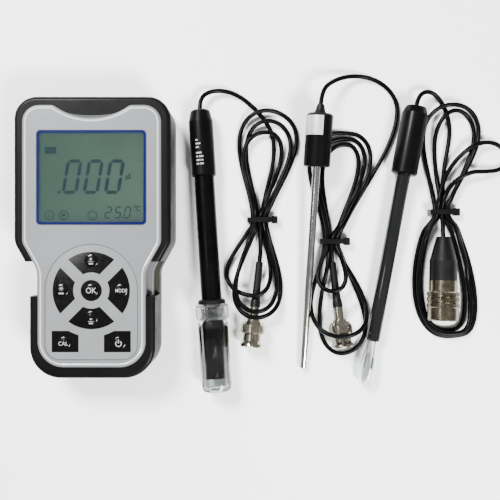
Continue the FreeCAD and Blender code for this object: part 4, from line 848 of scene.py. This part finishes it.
# %% [markdown]
# ## Knurls on the plugs
# A knurl is rolled into a turned part by two crossed wheels, and it leaves rows of little pyramids. Here a
# tooth of five faces stands on every point of a stack of rings, each tooth turned to face away from the
# axis.

# %% Knurling tree
KNURL_INPUTS = {"Count": "Int", "Rows": "Int", "Pitch": "Float", "Radius": "Float", "Tooth": "Vector",
                "Start": "Float", "Stagger": "Float"}


def knurl_tree(finish):
    tree, give, maths = tree_with("knurl", KNURL_INPUTS)
    total = maths("MULTIPLY", give["Count"], give["Rows"])
    points = wire(tree, "GeometryNodePoints", {"Count": total})
    index = wire(tree, "GeometryNodeInputIndex")
    row = maths("FLOOR", maths("DIVIDE", index, give["Count"]))
    turn = maths("MULTIPLY", maths("ADD", index, maths("MULTIPLY", row, give["Stagger"])),
                 maths("DIVIDE", 2 * math.pi, give["Count"]))
    y = maths("ADD", give["Start"], maths("MULTIPLY", row, give["Pitch"]))
    x, z = (maths("MULTIPLY", maths(kind, turn), give["Radius"]) for kind in ("COSINE", "SINE"))
    spot = wire(tree, "ShaderNodeCombineXYZ", {"X": x, "Y": y, "Z": z})
    ring = wire(tree, "GeometryNodeSetPosition", {"Geometry": points, "Position": spot})
    facing = wire(tree, "ShaderNodeCombineXYZ", {"Y": maths("SUBTRACT", math.pi / 2, turn)})
    teeth = wire(tree, "GeometryNodeInstanceOnPoints", {
        "Points": ring, "Instance": give["Geometry"], "Rotation": facing, "Scale": give["Tooth"]})
    return end_tree(tree, teeth, finish)


def tooth_mesh(name, top):
    """A small truncated pyramid, one millimetre square at its foot, 0.3 mm sunk and 0.5 mm proud."""
    mesh = bpy.data.meshes.new(name)
    foot = box_loop(-0.5, -0.5, 0.5, 0.5)
    points = [(x, y, -0.3) for x, y in foot] + [(x * top, y * top, 0.5) for x, y in foot]
    walls = [(i, (i + 1) % 4, 4 + (i + 1) % 4, 4 + i) for i in range(4)]
    mesh.from_pydata(points, [], [(3, 2, 1, 0), (4, 5, 6, 7)] + walls)
    return mesh


def knurl(name, top, tree, values, place, body):
    """The values are the tree's inputs in their order: Count, Rows, Pitch, Radius, Tooth, Start, Stagger."""
    grown(name, tooth_mesh(name + "_tooth", top), tree, dict(zip(KNURL_INPUTS, values)), place, body,
          smooth=False)


bright_knurl, dull_knurl = knurl_tree(nickel), knurl_tree(dull_nickel)
for name, place in (("ph", PH_PLUG), ("temp", TEMP_PLUG)):
    knurl(f"{name}_plug_knurl", 0.35, bright_knurl, (56, 5, 0.8, 7.08, (0.72, 0.76, 0.4), 9.3, 0.5), place,
          f"{name}_plug_collar")
NUT = (CELL_PLUG, "cell_plug_nut")
for i, (start, rows) in enumerate(((8.7, 3), (12.2, 4), (15.5, 3))):
    knurl(f"cell_nut_knurl_{i}", 0.4, dull_knurl, (60, rows, 0.55, 9.48, (0.8, 0.6, 0.45), start, 0.0), *NUT)
knurl("cell_nut_mouth_notches", 0.7, dull_knurl, (40, 1, 1.0, 8.9, (0.7, 0.9, 0.5), 0.6, 0.0), *NUT)
print("knurls ready")

# %% [markdown]
# ## Labels on the probe handles
# The pH handle has a white print, and the temperature handle carries a small silver plate. Both are kept as
# plain marks: rows of bars that follow the round handle, and a blank foil plate.

# %% Wrapped marks
def wrapped(name, shapes, radius, place, finish, body, slot, thick=0.04):
    """Flat shapes of (along, around) millimetres wrapped on a handle; around 0 is the handle's top."""
    points, faces = [], []
    for y0, y1, a0, a1 in shapes:
        parts = max(2, int(abs(a1 - a0) / 0.5))
        base = len(points)
        for i in range(parts + 1):
            turn = (a0 + (a1 - a0) * i / parts) / radius
            for y in (y0, y1):
                for r in (radius - 0.05, radius + thick):
                    points.append((r * math.sin(turn), y, r * math.cos(turn)))
        for i in range(parts):
            a, b = base + 4 * i, base + 4 * i + 4
            faces += [(a + 1, a + 3, b + 3, b + 1), (a, b, b + 2, a + 2), (a, a + 1, b + 1, b),
                      (a + 2, b + 2, b + 3, a + 3)]
        a, b = base, base + 4 * parts
        faces += [(a, a + 2, a + 3, a + 1), (b, b + 1, b + 3, b + 2)]
    return piece(name, points, faces, finish, body, place=place, slot=slot, outward=True)


BAR = 0.9
bars = [(y, y + BAR, a, a + w) for y, a, w in (
    (137.0, -3.6, 1.6), (137.0, -1.4, 2.2), (139.2, -3.6, 2.6), (139.2, -0.4, 1.0), (141.4, -3.6, 1.2),
    (141.4, -1.8, 2.6), (143.6, -3.6, 3.4), (147.0, -3.6, 2.0), (149.2, -3.6, 3.0), (151.4, -3.6, 1.4))]
wrapped("ph_handle_print", bars, 7.4, PH, white_ink, ROOT, "probe_black")
wrapped("temp_handle_plate", [(143.0, 154.4, -12.0, 1.6)], 8.0, TEMP, label_foil, ROOT, "plug_steel",
        thick=0.12)
print("handles marked")

# %% [markdown]
# ## The cables
# Each probe has a soft PVC cable of 2.8 mm. It leaves the handle, turns in a wide loop on the bench and
# comes to a nylon tie. Seven passes run through the tie, and between them the cable falls into three lower
# loops and two or three upper ones. The last pass runs on into the plug's boot. A cable is one smooth curve
# from handle to boot.
#
# A loop is a drop shape: it leaves the tie, swells out to one side, turns at its far end and comes back on
# the other side. Its width grows with one power of the distance and shrinks with another, which sets how
# full it is.

# %% One loop of cable
CABLE, FLOOR = 2.8, 1.45
TIE_HALF = 3.5


def loop_points(far, out, back, fullness, enter, leave, count=44):
    """Points of one loop about the tie: far is its far end, out and back its half widths."""
    reach = math.hypot(*far)
    flip = 1 if far[1] > 0 else -1
    side = (flip * far[1] / reach, -flip * far[0] / reach)
    rise, fall = fullness
    peak = (rise / (rise + fall)) ** rise * (fall / (rise + fall)) ** fall
    points = []
    for i in range(1, count):
        turn = 2 * math.pi * i / count
        u = (1 - math.cos(turn)) / 2
        if reach * u < 6.5:
            continue
        wide = (out if turn < math.pi else back) * u ** rise * (1 - u) ** fall / peak
        slot = (enter if turn < math.pi else leave) * (1 - u)
        points.append((far[0] * u + side[0] * wide + slot, far[1] * u + side[1] * wide))
    return points


# %% [markdown]
# A real coil is laid turn on turn, so each stretch of cable rests on what was laid before it. The heights
# are found in the same order. A point lies on the bench, or one cable's thickness above an earlier run it
# crosses, or on the plug. The cable cannot fold sharply, so it also rises ahead of a crossing along a flat
# arch.

# %% Laying the coil down
TIE_REACH, TIE_FLOOR = 7, 2.05
ROOF, ROOF_SPREAD = 4.6, 5.5
SOFT_RUN, ARCH = 5.0, 50.0
PLUG_RUN, BOOT_RUN = 30, 12


def lay_down(points, first, tie, rounds, boot_z, skip=9.0):
    """Gives every point its height; the first ones, from handle to bench, keep theirs."""
    p = np.array(points, float)
    xy = p[:, :2]
    n = len(p)
    run = np.linalg.norm(np.diff(xy, axis=0), axis=1)
    s = np.r_[0, np.cumsum(run)]
    from_tie = np.hypot(*(xy - np.array(tie)).T)
    floor = np.where(from_tie < TIE_REACH, TIE_FLOOR, FLOOR)
    roof = np.maximum(ROOF + (from_tie / ROOF_SPREAD) ** 2, floor)
    a, ab = xy[:-1], np.diff(xy, axis=0)
    f = np.clip(((xy[:, None] - a[None]) * ab[None]).sum(2) / (run ** 2)[None], 0, 1)
    gap = np.linalg.norm(xy[:, None] - (a[None] + f[..., None] * ab[None]), axis=2)
    under = (s[:, None] - s[None, 1:] > skip) & (gap < CABLE - 0.05)
    lift = np.sqrt(np.clip(CABLE ** 2 - np.clip(gap - 1.0, 0, None) ** 2, 0, None)) + 0.1
    apart = np.abs(s[:, None] - s[None])
    soft = np.clip(1 - apart / SOFT_RUN, 0, None)
    soft /= soft.sum(1)[:, None]
    keep = p[:, 2].copy()
    z = np.where(np.arange(n) < first, keep, floor)
    for _ in range(7):
        below = z[None, :-1] * (1 - f) + z[None, 1:] * f
        need = np.maximum(np.where(under, below + lift, 0).max(1), floor)
        for start, end, radius in rounds:
            along = end - start
            g = ((xy - start[:2]) @ along[:2]) / (along[:2] @ along[:2])
            line = start + g[:, None] * along
            side = np.hypot(*(xy - line[:, :2]).T)
            reach = radius + CABLE / 2 + 0.05
            room = 1.5 / np.linalg.norm(along)
            hit = (g > -room) & (g < 1 + room) & (side < reach) & (np.hypot(side, z - line[:, 2]) < reach)
            over = line[:, 2] + np.sqrt(np.clip(reach ** 2 - side ** 2, 0, None))
            need = np.where(hit & (s < s[-1] - PLUG_RUN), np.maximum(need, over), need)
        need[:first] = keep[:first]
        z = np.clip(soft @ (need[None] - apart ** 2 / ARCH).max(1), floor, roof)
        z[:first] = keep[:first]
        painted_shade_and_grain = np.clip((s - s[-1] + BOOT_RUN) / BOOT_RUN, 0, 1)
        z = z * (1 - painted_shade_and_grain) + boot_z * painted_shade_and_grain
    p[:, 2] = z
    return p


# %% The three routes
BAYONET = [(0, 15.6, 7.1), (15.6, 24.6, 3.3), (24.6, 50, 3.0)]
PIN_PLUG = [(0, 17.5, 9.5), (17.5, 36, 8.4), (36, 50, 6.2)]
SLIM, ROUND = (1.5, 0.5), (0.8, 0.35)
CABLES = {
    "ph": dict(
        tie=(97.1, 11.4), plug=PH_PLUG, shape=BAYONET, end=51.4,
        route=[(60.6, 78.2, 7.4), (60.1, 84.6, 6.9), (65.0, 90.0, 5.4), (74.4, 91.6, 3.2),
               (84.6, 88.4, 2.4), (95.8, 79.2, 1.9), (103.8, 68.6, 1.5), (106.4, 58.0, 1.45),
               (105.6, 46.0, 1.45), (102.6, 34.0, 1.45), (100.0, 23.0, 1.45)],
        passes=(1.4, -4.2, 4.2, -1.4, 2.8, -2.8, 0.0),
        low=[((-5, -46.6), 10.1, -15.7, SLIM), ((-2.5, -59.8), 14.0, -13.4, SLIM),
             ((-2.5, -56.2), 11.6, -12.0, SLIM)],
        high=[((7.6, 67.4), -17.0, 16.4, SLIM), ((7.0, 61.0), -13.0, 13.4, SLIM),
              ((5.5, 54.0), -13.0, 9.5, SLIM)]),
    "temp": dict(
        tie=(141.7, -2.0), plug=TEMP_PLUG, shape=BAYONET, end=51.4,
        route=[(133.5, 79.6, 17.2), (134.3, 88.5, 15.8), (141.5, 95.5, 10.5), (152.0, 100.0, 5.0),
               (164.0, 100.2, 2.0), (175.6, 95.0, 1.6), (183.0, 84.5, 1.6), (182.2, 71.0, 1.6),
               (177.0, 56.5, 1.6), (169.6, 43.0, 1.5), (162.0, 30.4, 1.45), (154.6, 18.0, 1.45),
               (149.0, 7.0, 1.45)],
        passes=(4.2, -1.4, 1.4, -4.2, 2.8, -2.8, 0.0),
        low=[((7.7, -69.6), 14.5, -12.5, SLIM), ((7.5, -57.1), 15.1, -17.2, SLIM),
             ((0.0, -30.5), 7.4, -7.8, SLIM)],
        high=[((11.0, 60.0), -13.0, 8.0, SLIM), ((14.1, 66.8), -23.0, 13.0, SLIM),
              ((12.5, 63.4), -17.6, 11.0, SLIM)]),
    "cell": dict(
        tie=(209.5, 16.2), plug=CELL_PLUG, shape=PIN_PLUG, end=50.0,
        route=[(192.7, 79.9, 8.2), (194.2, 86.8, 7.4), (199.6, 90.6, 5.8), (206.0, 88.8, 4.2),
               (211.2, 82.4, 2.6), (214.6, 74.0, 1.8), (215.4, 64.8, 1.45), (214.0, 55.0, 1.45),
               (211.8, 44.0, 1.45), (210.8, 30.0, 1.45)],
        passes=(1.4, -1.4, 4.2, -4.2, 2.8, -2.8, 0.0),
        low=[((7.0, -73.0), 9.6, -16.4, ROUND), ((11.5, -76.6), 12.4, -22.0, ROUND),
             ((9.4, -75.0), 11.0, -19.4, ROUND)],
        high=[((10.7, 62.6), -10.7, 12.0, SLIM), ((8.2, 65.9), -15.4, 16.2, SLIM), None],
        stray=[(-2.4, 8), (1.0, 20), (9.0, 32.5), (19.1, 41.3), (29.5, 43.5), (38.6, 40.6), (42.4, 33.4),
               (38.0, 26.4), (28, 24.8), (16.6, 24.6), (6.5, 18.0), (0.8, 9)]),
}


def whole_route(plan):
    """The route from the handle, then the passes and loops, then the run into the boot."""
    tx, ty = plan["tie"]
    points = [tuple(p) for p in plan["route"]]
    passes = plan["passes"]

    def through(x, way):
        points.extend((tx + x, ty + y * way, 0) for y in (-TIE_HALF, 0, TIE_HALF))

    def loop(spec, enter, leave):
        points.extend((tx + x, ty + y, 0) for x, y in loop_points(*spec, enter, leave))

    for k in range(3):
        through(passes[2 * k], -1)
        loop(plan["low"][k], passes[2 * k], passes[2 * k + 1])
        through(passes[2 * k + 1], 1)
        if plan["high"][k]:
            loop(plan["high"][k], passes[2 * k + 1], passes[2 * k + 2])
        else:
            points.extend((tx + x, ty + y, 0) for x, y in plan["stray"])
    through(passes[6], -1)
    place = plan["plug"]
    mouth = np.array(place.translation) / MM
    axis = np.array(place.col[1][:3])
    end = mouth + axis * plan["end"]
    points += [tuple(end + axis * 9), tuple(end + axis * 4), tuple(end)]
    rounds = [(mouth + axis * lo, mouth + axis * hi, r) for lo, hi, r in plan["shape"]]
    return lay_down(points, len(plan["route"]), plan["tie"], rounds, end[2])


# %% [markdown]
# The points become the control points of one open NURBS curve of order three, which never has a kink, and a
# round bevel gives it the jacket. Its length is measured along the bare curve.

# %% Cable curves
def cable_curve(name, points):
    data = bpy.data.curves.new(name, "CURVE")
    data.dimensions = "3D"
    spline = data.splines.new("NURBS")
    spline.points.add(len(points) - 1)
    for target, p in zip(spline.points, points):
        target.co = (*[float(c) * MM for c in p], 1.0)
    spline.order_u = 3
    spline.use_endpoint_u = True
    spline.resolution_u = 5
    made = placed(name, data)
    line = frozen(made)
    path = [corner.co.copy() for corner in line.vertices]
    length = sum((b - a).length for a, b in zip(path, path[1:]))
    bpy.data.meshes.remove(line)
    data.bevel_depth = CABLE / 2 * MM
    data.bevel_resolution = 4
    data.use_fill_caps = True
    data.materials.append(cable_pvc)
    return made, length


for name, plan in CABLES.items():
    points = whole_route(plan)
    cable, length = cable_curve(f"{name}_cable", points)
    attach(cable, ROOT)
    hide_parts(f"{name}_cable_lead", f"{name}_cable_hank")
    round(length, 3)
    print(name, "cable", round(length, 3), "m in", len(points), "points")

# %% [markdown]
# ## Bench, light and camera
# The bench is a plain pale sheet. A wide soft light hangs over the left and a weaker one fills from the
# right. A very small one puts a highlight on each key, and a dim white world softens the shadows. The camera
# looks straight down.

# %% Bench
ground = bpy.data.meshes.new("bench")
ground.from_pydata([(x, y, -0.2 * MM) for x, y in box_loop(-3, -3, 3, 3)], [], [(0, 1, 2, 3)])
ground.materials.append(surface("pale_bench_laminate", "#FBFBFB", "#F6F6F6", 0.6, 0.03, 0.6, 0.002,
                                patch_mm=60.0))
bench = placed("bench", ground)
bench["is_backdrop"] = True

# %% Lights
def soft_light(name, spot, aim, size, watts):
    data = bpy.data.lights.new(name, "AREA")
    data.shape, data.size, data.energy = "DISK", size, watts
    lamp = placed(name, data)
    lamp.location = spot
    lamp.rotation_euler = (Vector(aim) - Vector(spot)).to_track_quat("-Z", "Y").to_euler()


MIDDLE = (0.09, 0.0, 0.0)
soft_light("key_light", (-0.35, 0.5, 0.8), MIDDLE, 0.35, 32.0)
soft_light("fill_light", (0.5, -0.5, 0.75), MIDDLE, 0.3, 28.0)
soft_light("key_gloss_light", (-0.14, 0.0, 0.46), (0.0, -0.03, 0.03), 0.05, 0.12)
world = bpy.data.worlds.new("pale_room")
world.use_nodes = True
sky = world.node_tree.nodes["Background"].inputs
sky["Color"].default_value, sky["Strength"].default_value = (1, 1, 1, 1), 0.35
bpy.context.scene.world = world

# %% Camera
lens = bpy.data.cameras.new("overhead")
lens.lens, lens.sensor_width = 46.15, 36.0
camera = placed("overhead", lens)
camera.location = (0.0912, -0.0073, 0.400)
bpy.context.scene.camera = camera

# %% Sizes, then done
seen_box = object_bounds()
for label, box in (("cad box", cad_box), ("seen box", seen_box)):
    print(label, [[round(v, 4) for v in c] for c in box])
